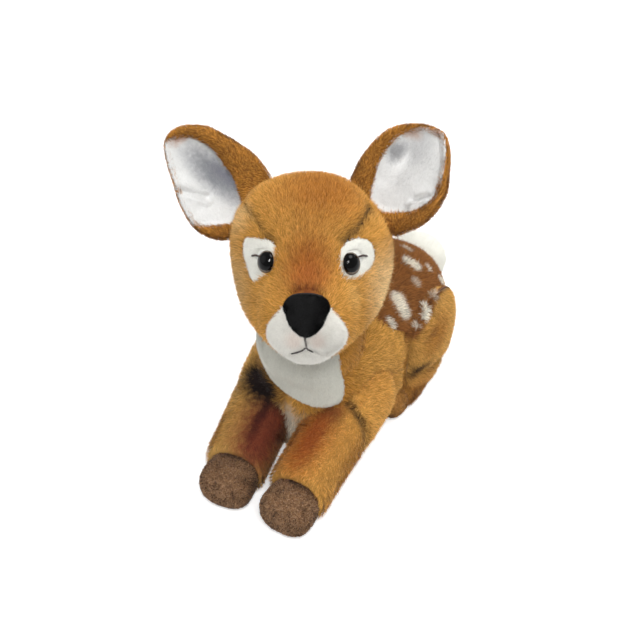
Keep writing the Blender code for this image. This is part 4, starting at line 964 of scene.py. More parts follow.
def buildPileTone():
    # pile: darker at its roots as painted shade, each strand a little different, with soft mottling where it is
    # brushed, darker along seams as painted shade, and paler tips that are partly painted highlight
    tree, given, result = newGroup("pileTone", {
        "Colour": (0.5, 0.3, 0.1, 1), "Place": (0, 0, 0), "Along": 0.0, "Strand Tone": 0.5, "Root Shade": 0.55,
        "Mottling": 0.2, "Strand Variety": 0.35, "Tip Colour": (1, 1, 1, 1), "Tip Share": 0.2, "Seam": 0.0,
        "Seam Shade": 0.7}, {"Colour": "Color", "Height": "Float"})
    brushed = noiseOf(tree, given["Place"], 170.0, 4.0, Roughness=0.65)
    fine = noiseOf(tree, given["Place"], 900.0, 4.0, Roughness=0.7)
    rooted = maths(tree, "MULTIPLY", maths(tree, "SUBTRACT", 1.0, given["Along"]), given["Root Shade"])
    bright = maths(tree, "ADD", 1.0, centred(tree, brushed, given["Mottling"]), centred(tree, fine, 0.35),
                   centred(tree, given["Strand Tone"], given["Strand Variety"]))
    value = maths(tree, "SUBTRACT", bright, rooted, maths(tree, "MULTIPLY", given["Seam"], given["Seam Shade"]))
    pale = addNode(tree, "RGBToBW", {"Color": given["Colour"]}).outputs[0]
    tips = maths(tree, "MULTIPLY", maths(tree, "POWER", given["Along"], 2.0), given["Tip Share"],
                 maths(tree, "ADD", given["Strand Tone"], 0.5), maths(tree, "MULTIPLY", pale, 3.0, clamp=True))
    tipped = mixColours(tree, tips, given["Colour"], given["Tip Colour"])
    feed(tree, result["Colour"], addNode(tree, "VectorMath", {0: tipped, "Scale": value}, operation="SCALE").outputs[0])
    feed(tree, result["Height"], maths(tree, "ADD", brushed, fine))
    return tree


def buildDyeAndShadeZone():
    # a soft patch of colour, used for dye and for painted shade and painted light: full in its middle, gone at its
    # reach, broken up by the pile
    tree, given, result = newGroup("dyeAndShadeZone", {"Place": (0, 0, 0), "Centre": (0, 0, 0), "Reach": (0.01, 0.01, 0.01),
                                                 "Strength": 1.0}, {"Mask": "Float"})
    away = addNode(tree, "VectorMath", {0: given["Place"], 1: given["Centre"]}, operation="SUBTRACT").outputs[0]
    scaled = addNode(tree, "VectorMath", {0: away, 1: given["Reach"]}, operation="DIVIDE").outputs[0]
    length = addNode(tree, "VectorMath", {0: scaled}, operation="LENGTH").outputs["Value"]
    ragged = maths(tree, "ADD", length, centred(tree, noiseOf(tree, given["Place"], 400.0, 3.0), 0.45))
    fade = addNode(tree, "MapRange", {"Value": ragged, "From Min": 0.15, "From Max": 1.0, "To Min": 1.0, "To Max": 0.0},
                   interpolation_type="SMOOTHSTEP")
    feed(tree, result["Mask"], maths(tree, "MULTIPLY", fade.outputs[0], given["Strength"]))
    return tree


def buildThreadTwist():
    # strands of thread lie across its length
    tree, given, result = newGroup("threadTwist", {"Place": (0, 0, 0), "Turns per Metre": 900.0},
                                   {"Height": "Float", "Fleck": "Float"})
    wave = addNode(tree, "TexWave", {"Vector": given["Place"], "Scale": given["Turns per Metre"], "Distortion": 1.5,
                                     "Detail": 2.0}, bands_direction="DIAGONAL").outputs["Fac"]
    noise = noiseOf(tree, given["Place"], 2500.0, 3.0)
    feed(tree, result["Height"], maths(tree, "ADD", wave, noise))
    feed(tree, result["Fleck"], noise)
    return tree


pileTone, dyeAndShadeZone, threadTwist = buildPileTone(), buildDyeAndShadeZone(), buildThreadTwist()


def srgb(red, green, blue):
    # a colour as a picture shows it, for a node that works with light
    return tuple(((c / 255 + 0.055) / 1.055) ** 2.4 if c > 10 else c / 255 / 12.92 for c in (red, green, blue))


def newMaterial(name):
    made = bpy.data.materials.new(name)
    made.use_nodes = True
    return made, made.node_tree, made.node_tree.nodes["Principled BSDF"].inputs


def ownShare(tree, name, output="Fac"):
    return addNode(tree, "Attribute", attribute_name=name).outputs[output]


def inObject(tree):
    return addNode(tree, "TexCoord").outputs["Object"]


cocoa, cream = (140, 84, 34), (246, 242, 226)


def plushMaterial(name, colour, zones=(), dyed=False, rootShade=0.42, mottling=0.45, variety=0.8, sheen=0.12, bump=0.3,
                  tip=(0.92, 0.58, 0.22), tipShare=0.24, grown=True):
    # zones: centre and reach in millimetres, strength, colour; some are dye, some painted shade and some painted light;
    # dyed: the pieces' own shares lay cocoa on, then cream spots
    # grown: whether the piece has places of its own
    made, tree, shader = newMaterial(name)
    place = ownShare(tree, "place", "Vector") if grown else inObject(tree)
    current = addNode(tree, "RGB").outputs[0]
    current.default_value = (*srgb(*colour), 1)
    for centre, reach, strength, tint in zones:
        zoneSockets = {"Place": place, "Centre": np.array(centre) * mm, "Reach": np.array(reach) * mm, "Strength": strength}
        mask = addNode(tree, "Group", zoneSockets, node_tree=dyeAndShadeZone).outputs[0]
        current = mixColours(tree, mask, current, srgb(*tint))
    for share, dye in (("dye", cocoa), ("spot", cream)) if dyed else ():
        current = mixColours(tree, ownShare(tree, share), current, srgb(*dye))
    toned = addNode(tree, "Group", {
        "Colour": current, "Place": place, "Along": ownShare(tree, "along"), "Strand Tone": ownShare(tree, "tone"),
        "Root Shade": rootShade, "Mottling": mottling, "Strand Variety": variety, "Tip Colour": (*tip, 1),
        "Tip Share": tipShare, "Seam": ownShare(tree, "seam")}, node_tree=pileTone).outputs
    feed(tree, shader["Base Color"], toned["Colour"])
    rough = addNode(tree, "MapRange", {"Value": toned["Height"], "From Min": 0.6, "From Max": 1.4, "To Min": 0.78,
                                       "To Max": 0.95})
    feed(tree, shader["Roughness"], rough.outputs[0])
    geometry = addNode(tree, "NewGeometry").outputs      # a strand seen from behind leans its normal outward too
    mirror = addNode(tree, "VectorMath", {0: geometry["Normal"], 1: geometry["True Normal"]}, operation="REFLECT").outputs[0]
    turned = addNode(tree, "VectorMath", {0: mirror, "Scale": -1.0}, operation="SCALE").outputs[0]
    outward = mixColours(tree, geometry["Backfacing"], geometry["Normal"], turned)
    lumps = addNode(tree, "Bump", {"Height": toned["Height"], "Strength": bump, "Distance": 0.0006, "Normal": outward})
    feed(tree, shader["Normal"], lumps.outputs[0])
    shader["Specular IOR Level"].default_value = 0.2
    shader["Sheen Weight"].default_value = sheen
    shader["Sheen Roughness"].default_value = 0.45
    return made


liningPile = {"rootShade": 0.10, "mottling": 0.05, "variety": 0.08, "sheen": 0.1, "tip": (1, 1, 1)}
whitePile = {"rootShade": 0.2, "mottling": 0.06, "variety": 0.12}


def pair(centre, *rest):
    # a zone and its mirror image on the other side
    return (centre, *rest), ((-centre[0], *centre[1:]), *rest)


materials = {
    "head": plushMaterial("headPlush", (208, 146, 54), (
        # deep orange forehead; where it reaches over the left brow it is painted shade
        ((8, -12, 44), (46, 48, 28), .9, (168, 98, 16)),
        ((0, -50, 12), (22, 40, 30), .95, (164, 86, 8)),
        ((0, -54, 6), (19, 15, 11), .5, (176, 86, 18)),
        ((0, -60.5, 2), (18, 7, 5), 1.0, (80, 22, 14)),
        # pale cheeks; the left one lighter and the right one darker as painted light and painted shade
        ((42, -20, -12), (22, 34, 34), .9, (240, 206, 150)),
        ((-42, -20, -12), (24, 36, 36), .9, (200, 160, 104)),
        ((23, -45, -8), (10, 14, 12), .6, (226, 176, 96)),
        ((-23, -45, -8), (10, 14, 12), .4, (216, 160, 78)),
        ((-42, -10, 26), (16, 22, 16), .9, (228, 186, 122)),
        ((42, -6, 26), (12, 18, 12), .3, (226, 172, 90)))),
    "torso": plushMaterial("torsoPlush", (208, 150, 62), (
        ((30, -40, 60), (34, 24, 40), .7, (184, 120, 30)),
        ((0, -46, 30), (24, 34, 26), 1.0, cream),
        # near-black painted shadow under the bib's edge, over the top of the right foreleg
        ((-19, -50, 56), (24, 22, 17), 1.15, (34, 16, 11)),
        # painted shade on the left flank between the shoulder and the haunch
        ((46, 32, 42), (16, 9, 34), .7, (110, 64, 22)),
        # paler left shoulder, partly its own tan and partly painted light on the lit side of its bulge
        ((46, -4, 60), (16, 20, 30), .5, (218, 164, 82)))),
    "neck": plushMaterial("neckPlush", (196, 134, 48)),
    "haunch": plushMaterial("haunchPlush", (212, 156, 70), (
        *pair((54, 50, 52), (20, 34, 24), .8, (168, 104, 26)),
        # painted shade along the front of the left haunch, against the flank
        ((46, 25.5, 45), (12, 7, 30), .35, (116, 70, 24)),
        *pair((50, 30, 14), (22, 44, 26), 1.0, (186, 124, 48)),
        # near-black painted shade in the haunch creases
        *pair((50, 30, 34), (12, 22, 6.5), 1.0, (40, 20, 10))), dyed=True),
    "back": plushMaterial("backPlush", cocoa, dyed=True, mottling=0.9, variety=0.8, tip=(0.55, 0.33, 0.14), tipShare=0.35),
    "legLeft": plushMaterial("frontLegLeftPlush", (220, 160, 72), (
        ((-6, -62, 8), (24, 66, 26), .9, (188, 98, 18)),
        ((-2, -56, 8), (12, 50, 16), .6, (160, 66, 18)),
        ((6, 4, 12), (30, 26, 30), .7, (196, 136, 52)),
        # painted shade where the leg comes out under the chest's fur
        ((0, -34, 14), (14, 10, 12), .7, (110, 46, 16))), rootShade=0.28),
    "legRight": plushMaterial("frontLegRightPlush", (228, 176, 92), (
        ((13.5, -62, 0), (30, 92, 42), 1.0, (136, 60, 38)),
        ((7.5, -60, 6), (5, 50, 14), .8, (70, 16, 18)),
        # near-black painted shadow under the bib's edge at the top of the leg
        ((4, -30, 14), (30, 26, 26), 1.4, (32, 14, 12))), rootShade=0.28),
    "ear": plushMaterial("earPlush", (180, 116, 32), mottling=0.6, variety=1.2),
    "liningLeft": plushMaterial("earLiningLeftPlush", (248, 248, 246), (
        # grey painted shade in the hollow beside the rolled brown edge
        ((-14.5, 1, 30), (7, 30, 11), .75, (140, 141, 146)),
        ((-6, 1, 40), (14, 30, 16), .35, (180, 181, 184)),
        ((-17, 0, 46), (12, 30, 8), .8, (206, 164, 136)),
        ((-6, 0, 55), (16, 30, 4.5), .8, (216, 176, 150))), **liningPile),
    "liningRight": plushMaterial("earLiningRightPlush", (246, 246, 244), (
        # grey painted shade in the hollow beside the rolled brown edge
        ((2, 1, 22), (15, 30, 38), 1.0, (150, 152, 158)),
        ((6, 1, 16), (6, 30, 20), .8, (132, 133, 146)),
        ((8, 0, 54.5), (15, 30, 6), .9, (208, 160, 132))), **liningPile, tipShare=0.1),
    "white": plushMaterial("whitePlush", (243, 242, 233), **whitePile, sheen=0.15, tip=(0.95, 0.95, 0.90)),
    "muzzle": plushMaterial("muzzlePlush", (244, 241, 233), (
        ((6, -68, -22.5), (6, 12, 7), .30, (222, 176, 158)),
        ((-7, -68, -22.5), (6, 12, 8), .30, (222, 176, 158)),
        ((0, -70, -27), (3, 8, 5), .6, (170, 110, 100))), **whitePile, tip=(0.92, 0.92, 0.84)),
    # greyer than the other white pile, partly its own colour and partly painted shade from the head above
    "bib": plushMaterial("bibPlush", (218, 217, 206), rootShade=0.12, mottling=0.04, variety=0.06, sheen=0.06,
                         tip=(0.82, 0.82, 0.74)),
    "tail": plushMaterial("tailPlush", (254, 253, 244), rootShade=0.0, sheen=0.4, mottling=0.02, variety=0.08,
                          tip=(1, 1, 0.94)),
    "hoof": plushMaterial("hoofPlush", (156, 114, 76), (
        ((0, -78, -12), (16, 7, 12), .8, (74, 50, 38)),), rootShade=0.5, mottling=1.3, variety=1.3, bump=0.6,
                          tip=(0.46, 0.34, 0.25), tipShare=0.6),
    "hindHoof": plushMaterial("hindHoofPlush", (200, 140, 66), pair((38.5, 2, 4), (16, 14, 10), 1.0, (54, 40, 32)),
                              rootShade=0.5, mottling=1.0, variety=1.0, tip=(0.2, 0.15, 0.12)),
    "nose": plushMaterial("noseVelvet", (15, 15, 16), rootShade=0.4, mottling=1.4, variety=1.6, sheen=0.03, bump=0.9,
                          tip=(0.04, 0.045, 0.05)),
    "bag": plushMaterial("pelletBagCloth", (200, 194, 184), rootShade=0.1, mottling=0.2, bump=0.6, grown=False),
}


def threadMaterial(name, red, green, blue):
    made, tree, shader = newMaterial(name)
    colour = srgb(red, green, blue)
    place = ownShare(tree, "place", "Vector")
    twist = addNode(tree, "Group", {"Place": place, "Turns per Metre": 700.0}, node_tree=threadTwist).outputs
    feed(tree, shader["Base Color"], mixColours(tree, twist["Fleck"], colour, tuple(min(1, c * 3 + 0.02) for c in colour)))
    bumped = addNode(tree, "Bump", {"Height": twist["Height"], "Strength": 0.6, "Distance": 0.0002})
    feed(tree, shader["Normal"], bumped.outputs[0])
    shader["Roughness"].default_value = 0.7
    return made


def eyeMaterial():
    # black pupil and grey-brown ring with fine rays, under clear gloss
    made, tree, shader = newMaterial("eyePlastic")
    radius = ownShare(tree, "fromMiddle")
    spread = addNode(tree, "CombineXYZ", {"X": ownShare(tree, "turn"), "Y": radius}).outputs[0]
    rays = addNode(tree, "TexWave", {"Vector": spread, "Scale": 6.0, "Distortion": 3.0, "Detail": 2.0}).outputs["Fac"]
    cloud = noiseOf(tree, inObject(tree), 700.0, 3.0)
    ring = mixColours(tree, maths(tree, "MULTIPLY", rays, cloud), srgb(74, 66, 58), srgb(160, 148, 136))
    bands = addNode(tree, "ValToRGB", {0: radius})
    for stop, place, level in zip(bands.color_ramp.elements, (0.80, 0.86), (0, 1)):
        stop.position, stop.color = place, (level, level, level, 1)
    feed(tree, shader["Base Color"], mixColours(tree, bands.outputs[0], srgb(4, 4, 4), ring))
    feed(tree, shader["Roughness"], addNode(tree, "MapRange", {"Value": cloud, "To Min": 0.02, "To Max": 0.06}).outputs[0])
    shader["Specular IOR Level"].default_value = 0.14
    return made


def plasticMaterial(name, red, green, blue):
    made, tree, shader = newMaterial(name)
    colour = srgb(red, green, blue)
    grain = noiseOf(tree, inObject(tree), 1500.0, 2.0)
    feed(tree, shader["Base Color"], mixColours(tree, grain, colour, tuple(c * 0.85 for c in colour)))
    feed(tree, shader["Roughness"], addNode(tree, "MapRange", {"Value": grain, "To Min": 0.35, "To Max": 0.55}).outputs[0])
    return made


materials["thread"] = threadMaterial("blackThread", 30, 22, 20)
materials["lash"] = threadMaterial("lashThread", 34, 18, 16)
materials["eye"] = eyeMaterial()
materials["washer"] = plasticMaterial("washerPlastic", 222, 222, 218)
print("materials made:", len(materials))


# Pieces

def dressMesh(name, mesh, points, finish, body, nodes=()):
    # place: where each point is in its own body, for the zones of dye, painted shade and painted light
    mesh.attributes.new("place", "FLOAT_VECTOR", "POINT").data.foreach_set("vector", np.asarray(points, np.float32).ravel())
    piece = addObject(name, mesh)
    mesh.materials.append(materials[finish])
    if body:
        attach(piece, body)
    if nodes:
        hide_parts(*nodes)
    return piece


def meshPiece(name, points, faces, matrix, body, finish, nodes=()):
    mesh = bpy.data.meshes.new(name)
    mesh.from_pydata(toWorld(matrix, np.asarray(points)).tolist(), [], [list(map(int, f)) for f in faces])
    mesh.update()
    mesh.shade_smooth()
    return dressMesh(name, mesh, points, finish, body, nodes)


def addShare(mesh, name, values):
    mesh.attributes.new(name, "FLOAT", "POINT").data.foreach_set("value", np.asarray(values, np.float32))


def sharesAt(shares, skin, points):
    return shares(toWorld(skin["matrix"], points)) if shares else {}


def skinPiece(name, skin, finish, nodes, body, shares=None):
    piece = meshPiece(name, skin["points"], skin["quads"].tolist() + skin["caps"], skin["matrix"], body, finish, nodes)
    half = np.full(len(skin["points"]), 0.5)
    own = {"along": half, "tone": half, "seam": skin["seam"], **sharesAt(shares, skin, skin["points"])}
    for key, values in own.items():
        addShare(piece.data, key, values)
    return piece


def blended(weights, values):
    return (values * (weights[..., None] if values.ndim > 2 else weights)).sum(axis=1)


def growPile(name, skin, finish, slot, body, comb, seed, keep=None, shares=None, *, count, length, width=0.00029, lean=50,
             wander=0.5, spread=22, curl=0.0):
    # every strand is a thin bent leaf of pile, rooted on the skin and leaning the way it is brushed
    rng = np.random.default_rng(seed)
    start, stop = skin.get("front", (0, len(skin["points"])))
    quads = skin["quads"][((skin["quads"] >= start) & (skin["quads"] < stop)).all(axis=1)]
    corners = np.concatenate([quads[:, [0, 1, 2]], quads[:, [0, 2, 3]]], axis=1).reshape(-1, 3)
    a, b, c = (skin["points"][corners[:, k]] for k in range(3))
    area = np.linalg.norm(np.cross(b - a, c - a), axis=1) / 2 * (skin["pile"][corners].min(axis=1) > 0)
    places = np.cumsum(area)
    pick = np.clip(np.searchsorted(places, (np.arange(count) + rng.random(count)) / count * places[-1]), 0, len(corners) - 1)
    u, v = rng.random((2, count))
    over = u + v > 1
    u[over], v[over] = 1 - u[over], 1 - v[over]
    weights = np.stack([1 - u - v, u, v], axis=1)
    chosen = corners[pick]
    root, normal, thick, seam = (blended(weights, skin[key][chosen]) for key in ("points", "normals", "pile", "seam"))
    normal = unit(normal)
    if keep is not None:
        kept = keep(root)
        root, normal, thick, seam = root[kept], normal[kept], thick[kept], seam[kept]
    n = len(root)
    way = comb(root) + drift(root, 90, seed + 1) * wander + drift(root, 320, seed + 2) * wander * 0.6
    way = unit(way - (way * normal).sum(axis=1, keepdims=True) * normal)
    side = np.cross(normal, way)
    swing = np.radians(rng.normal(0, spread, n))[:, None]
    way, side = way * np.cos(swing) + side * np.sin(swing), side * np.cos(swing) - way * np.sin(swing)
    tilt = np.radians(np.clip(rng.normal(lean, 9, n), 5, 80))[:, None]
    first = normal * np.cos(tilt * 0.75) + way * np.sin(tilt * 0.75)
    later = normal * np.cos(np.minimum(tilt * 1.2, 1.42)) + way * np.sin(np.minimum(tilt * 1.2, 1.42))
    if curl:
        later = unit(later + drift(root, 1500, seed + 3) * curl)
    tall = (length * thick * (0.72 + 0.5 * rng.random(n)) * (1 + 0.35 * (rng.random(n) > 0.96)))[:, None]
    twist = np.radians(rng.normal(0, 22, n))[:, None]
    across = unit(side * np.cos(twist) + np.cross(first, side) * np.sin(twist))
    across = across * (width * (0.75 + 0.5 * rng.random(n)))[:, None] / 2
    low = root - normal * 0.0003
    middle = root + first * tall * 0.45
    tip = middle + later * tall * 0.55
    verts = np.stack([low, middle - across, middle + across, tip], axis=1)
    face = unit(np.cross(verts[:, 2] - verts[:, 0], verts[:, 1] - verts[:, 0]))
    flip = (face * normal).sum(axis=1) < 0
    verts[flip, 1], verts[flip, 2] = verts[flip, 2].copy(), verts[flip, 1].copy()
    face[flip] *= -1
    shade = unit(normal * 0.85 + face * 0.4) @ np.array(skin["matrix"])[:3, :3].T
    world = toWorld(skin["matrix"], verts)
    world[..., 2] = np.maximum(world[..., 2], 0.0003)
    base = np.arange(n) * 4
    tris = np.stack([base, base + 2, base + 1, base + 1, base + 2, base + 3], axis=1).reshape(-1)
    mesh = bpy.data.meshes.new(name)
    mesh.vertices.add(n * 4)
    mesh.vertices.foreach_set("co", world.astype(np.float32).ravel())
    mesh.loops.add(len(tris))
    mesh.loops.foreach_set("vertex_index", tris.astype(np.int32))
    mesh.polygons.add(n * 2)
    mesh.polygons.foreach_set("loop_start", (np.arange(n * 2) * 3).astype(np.int32))
    mesh.update()
    mesh.normals_split_custom_set_from_vertices(np.repeat(shade, 4, axis=0))
    addShare(mesh, "along", np.tile((0.0, 0.55, 0.55, 1.0), n))
    for key, values in {"tone": rng.random(n), "seam": seam, **sharesAt(shares, skin, root)}.items():
        addShare(mesh, key, np.repeat(values, 4))
    # each strand has its own small cell of the map, next to its neighbours'
    columns = math.ceil(math.sqrt(n))
    cell = np.stack([np.arange(n) % columns, np.arange(n) // columns], axis=1)[:, None, :]
    shape = np.array(((.5, .04), (.04, .5), (.96, .5), (.5, .96)))[None]
    places = ((cell + shape) / columns).reshape(-1, 2)
    mesh.uv_layers.new(name="OFBake").data.foreach_set("uv", places[tris].astype(np.float32).ravel())
    return dressMesh(name, mesh, np.repeat(root, 4, axis=0), finish, body)


def coat(name, skin, finish, slot, nodes, pile, comb, seed, keep=None, shares=None, rides=True):
    # a piece's skin, with its pile on it
    body = skin["body"] if rides else None
    return (skinPiece(name % "skin", skin, finish, nodes, body, shares),
            growPile(name % "pile", skin, finish, slot, body, comb, seed, keep, shares, **pile))


def combed(*way, fan=(0, 0, 0)):
    # the way that the pile is brushed, and how far it fans out from the body's middle
    return lambda points: np.array(way) + points * np.array(fan)


def combFromNose(points):
    return unit(points - np.array((0, -0.075, -0.012))) + np.array((0, 0.25, -0.05))


def combToHoof(points):
    # the shoulder is brushed back like the coat beside it, the rest down to the hoof
    share = smoothStep(-0.036, -0.024, points[:, 1])[:, None]
    return np.array((0.0, -1.0, -0.35)) * (1 - share) + np.array((0.0, 0.7, -0.6)) * share


combBack, combToTip = combed(0, 1.0, -0.25, fan=(6, 0, 0)), combed(0, 0, 1.0, fan=(10, 0, 0))
combDown, combForward = combed(0, -0.15, -1.0), combed(0, -1.0, -0.2)


# Head with its panels

noseLook = {
    "outline": ((12.8, .4), (12.7, 3.4), (11.7, 6.6), (9, 9.6), (4.8, 11.6), (0, 12.2), (-5, 11.5), (-9.2, 9.4), (-11.6, 6.4),
                (-12.7, 3), (-12.9, -.2), (-12.6, -3.6), (-11.4, -7.2), (-9, -10.3), (-5, -12.4), (0, -13.1), (4.8, -12.4),
                (8.8, -10.3), (11.3, -7), (12.5, -3.4)),
    "z": -0.0085, "proud": 0.0052, "pile": {"count": 18000, "length": 0.0010, "width": 0.00026, "lean": 35, "spread": 40},
}
eyeLook = {
    "x": 0.0242, "y": -0.0376, "z": 0.0104, "radius": 0.0066, "proud": 0.0046, "bare": 0.0056,
    "outward": 0.45, "inward": 0.36, "upward": 0.16,
    # the stitch at its outer corner, in millimetres
    "lash": {"left": ((26.2, 11.6), (29, 11.8), (31.8, 10.6)), "right": ((26.2, 10.8), (29, 10.8), (31.6, 9.6))},
}
mouthLook = {
    # both in millimetres across and up
    "line": ((-8.8, -32.2), (-6.2, -30.9), (-3.2, -29), (0, -27.2), (2.4, -28.4), (4.8, -30)),
    "drop": ((0, -19.5), (.1, -22.5), (0, -25), (0, -27.6)),
    "bare": 0.0015,
}


def onNose(points):
    shape = smoothLoop(noseLook["outline"], 120) * mm
    angle = np.arctan2(shape[:, 1], shape[:, 0])
    order = np.argsort(angle)
    x, z = points[:, 0], points[:, 2] - noseLook["z"]
    edge = np.interp(np.arctan2(z, x), angle[order], np.linalg.norm(shape, axis=1)[order], period=2 * math.pi)
    return (np.hypot(x, z) < edge * 0.80) & (points[:, 1] < -0.05)


def onMouth(points):
    flat = points * np.array((1.0, 0, 1.0))
    lines = [[(x * mm, 0, z * mm) for x, z in mouthLook[key]] for key in ("line", "drop")]
    return np.min([lineDistance(flat, line) for line in lines], axis=0) < mouthLook["bare"]


def offEye(points):
    away = [np.hypot(points[:, 0] - sign * eyeLook["x"], points[:, 2] - eyeLook["z"]) for _, sign in bothSides]
    return np.min(away, axis=0) > eyeLook["bare"]


def bareHead(points):
    # the brown pile stays off the muzzle, the eye patches and the nose
    muzzle = (((points - np.array(muzzleLook["centre"])) / np.array(muzzleLook["radii"])) ** 2).sum(axis=1) < 1
    patches = [insideLoop(points, smoothLoop(patchLook[side], 80) * mm) for side, _ in bothSides]
    face = (patches[0] | patches[1] | ~offEye(points)) & (points[:, 1] < -0.005)
    return ~(muzzle | face | onNose(points))


napeStart = 0.002
brown, pale = "brown_plush", "white_plush"      # slots
skinPiece("head_skin", head, "head", ("head_cover", "head_stuffing"), "head")
growPile("face_pile", head, "head", brown, "head", combFromNose, 21,
         lambda points: bareHead(points) & (points[:, 1] < napeStart), **headLook["facePile"])
growPile("nape_pile", head, "head", brown, "head", combFromNose, 20, lambda points: points[:, 1] >= napeStart,
         **headLook["napePile"])
coat("muzzle_%s", skins["muzzle"], "muzzle", pale, ("muzzle",), muzzleLook["pile"], combFromNose, 22,
     lambda points: ~onNose(points) & ~onMouth(points))
for side, _ in bothSides:
    coat("eye_patch_%s_" + side, skins["eye_patch_" + side], "white", pale, ("eye_patch_" + side,), patchLook["pile"],
         combFromNose, 23, offEye)

faceTree = ownTree(head)


def makeEye(side, sign, look, rows=26, sides=64):
    normal = fromFront(faceTree, sign * look["x"], look["z"])[1]
    facing = (normal + Vector((sign * look["outward"], 0, 0))).normalized().to_track_quat("Z", "Y").to_matrix().to_4x4()
    seat = headPlace @ Matrix.Translation((sign * look["x"], look["y"], look["z"])) @ facing
    dome = [(math.sin(a), look["proud"] * math.cos(a)) for a in np.linspace(0.02, 1, rows) * math.pi / 2]
    stem = [(0.99, -.0006), (0.90, -.0011), (0.27, -.0012), (0.25, -.0100), (0.05, -.0101)]
    turn = around(sides)
    points, quads, caps = ringGrid([joined(look["radius"] * size * np.cos(turn), look["radius"] * size * np.sin(turn), z)
                                    for size, z in dome + stem])
    piece = meshPiece("eye_dome_" + side, points, quads.tolist() + caps, seat, "head", "eye",
                      ("eye_" + side,))
    fromMiddle = [np.hypot(size * np.cos(turn) + sign * look["inward"], size * np.sin(turn) - look["upward"])
                  for size, _ in dome]
    addShare(piece.data, "fromMiddle", np.concatenate(fromMiddle + [np.ones(sides)] * len(stem)))
    addShare(piece.data, "turn", np.tile(turn, rows + len(stem)))


def dressNode(name, finish):
    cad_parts[name].data.materials.clear()
    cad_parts[name].data.materials.append(materials[finish])


for side, sign in bothSides:
    makeEye(side, sign, eyeLook)
    dressNode("eye_washer_" + side, "washer")


def threadTube(name, line, lift, tree, radius, finish, nodes, sides=10):
    # a twisted thread laid on a form: its section is two round plies that turn as they go
    hits = [fromFront(tree, x * mm, z * mm) for x, z in line]
    path = np.array([place + normal * lift for place, normal in hits])
    steps = np.concatenate([[0], np.cumsum(np.linalg.norm(np.diff(path, axis=0), axis=1))])
    wanted = np.linspace(0, steps[-1], max(8, int(steps[-1] / 0.00025)))
    line = np.stack([np.interp(wanted, steps, path[:, k]) for k in range(3)], -1)
    for _ in range(4):
        line[1:-1] = (line[:-2] + 2 * line[1:-1] + line[2:]) / 4
    ahead = unit(np.gradient(line, axis=0))
    across = unit(np.cross(ahead, (0, -1.0, 0.02)))
    upward = np.cross(across, ahead)
    turn = around(sides)
    rings = []
    for i, place in enumerate(line):
        ends = min(1, (i + 0.5) / 3, (len(line) - 0.5 - i) / 3)
        phase = wanted[i] * 2 * math.pi / (radius * 5)
        r = radius * ends ** 0.5 * (0.82 + 0.22 * np.abs(np.cos(turn + phase)))
        rings.append(place + (r * np.cos(turn))[:, None] * across[i] + (r * np.sin(turn))[:, None] * upward[i])
    points, quads, caps = ringGrid(rings)
    meshPiece(name, points, quads.tolist() + caps, headPlace, "head", finish, nodes)


muzzleTree = ownTree(skins["muzzle"])
threadTube("mouth_thread", mouthLook["line"], 0.0030, muzzleTree, 0.00046, "thread", ("mouth_stitch",))
threadTube("mouth_drop_thread", mouthLook["drop"], 0.0034, muzzleTree, 0.00070, "thread", ())
for side, sign in bothSides:
    line = [(sign * x, z) for x, z in eyeLook["lash"][side]]
    threadTube("eye_thread_" + side, line, 0.0030, faceTree, 0.00060, "lash", ("eye_stitch_" + side,))


def noseSkin(look, rows=40, sides=120):
    x, z = smoothLoop(look["outline"], sides).T * mm
    tip = fromFront(faceTree, 0, look["z"])[0].y - 0.0022
    # size and depth of each ring: the front rounded over to its widest line, then the back
    profile = [(share, -look["proud"] * (1 - share ** 2.6) ** 0.5) for share in np.linspace(0.02, 1, rows)]
    profile += [(.985, .00225), (.94, .0045), (.80, .006375), (.45, .0075), (.08, .00765)]
    rings = [joined(x * size, tip + depth + 0.9 * (x * size) ** 2 / 0.029, look["z"] + z * size) for size, depth in profile]
    skin = makeSkin(rings, "head", headPlace)
    skin["front"] = (0, rows * sides)
    return skin


skins["nose"] = noseSkin(noseLook)
coat("nose_%s", skins["nose"], "nose", "nose_velvet", ("nose",), noseLook["pile"], combed(0, 0, 0.006, fan=(1.0, 0, 1.0)), 24)

# Ears

for side, _ in bothSides:
    back, lining = "ear_back_" + side, "ear_lining_" + side
    coat("ear_%s_" + side, skins[back], "ear", brown, (back,), earLook["pile"], combToTip, 31)
    coat("ear_lining_%s_" + side, skins[lining], "lining" + side.title(), "ear_lining_plush", (lining,),
         earLook["liningPile"], combToTip, 32)

# Torso, bib, back panel and neck


def coatShares(world):
    return {"dye": panelShare(world), "spot": spotShare(world) * np.minimum(1, panelShare(world) * 1.5)}


def panelShares(world):
    return {"dye": np.ones(len(world)), "spot": spotShare(world)}


def bareTorso(points):
    # the brown pile stays off the bib and off the back panel
    across = points[:, 0] / backLook["halfWidth"]
    along = (points[:, 1] - backLook["centre"][1]) / backLook["halfLength"]
    inOval = np.abs(across) ** backLook["power"] + np.abs(along) ** backLook["power"] < 1
    return ~(inOval & (points[:, 2] > backLook["above"]) | onBib(points, 0.03))


def bareNeck(points):
    return ~onBib(points, 0.03) & (points[:, 2] < neckLook["bareAbove"])


coat("torso_%s", torso, "torso", brown, ("torso_cover", "torso_stuffing"), torsoLook["pile"], combBack, 41, bareTorso)
coat("back_panel_%s", skins["back_panel"], "back", "spotted_plush", ("back_panel",), backLook["pile"], combBack, 42,
     shares=panelShares)
neckPieces = coat("neck_%s", skins["neck"], "neck", brown, ("neck_sleeve", "neck_stuffing"), neckLook["pile"], combDown, 43,
                  bareNeck, rides=False)
bibPieces = coat("bib_%s", skins["bib"], "bib", pale, ("bib",), bibLook["pile"], combDown, 44, rides=False)
for piece in neckPieces + bibPieces:
    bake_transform(piece)

# Limbs

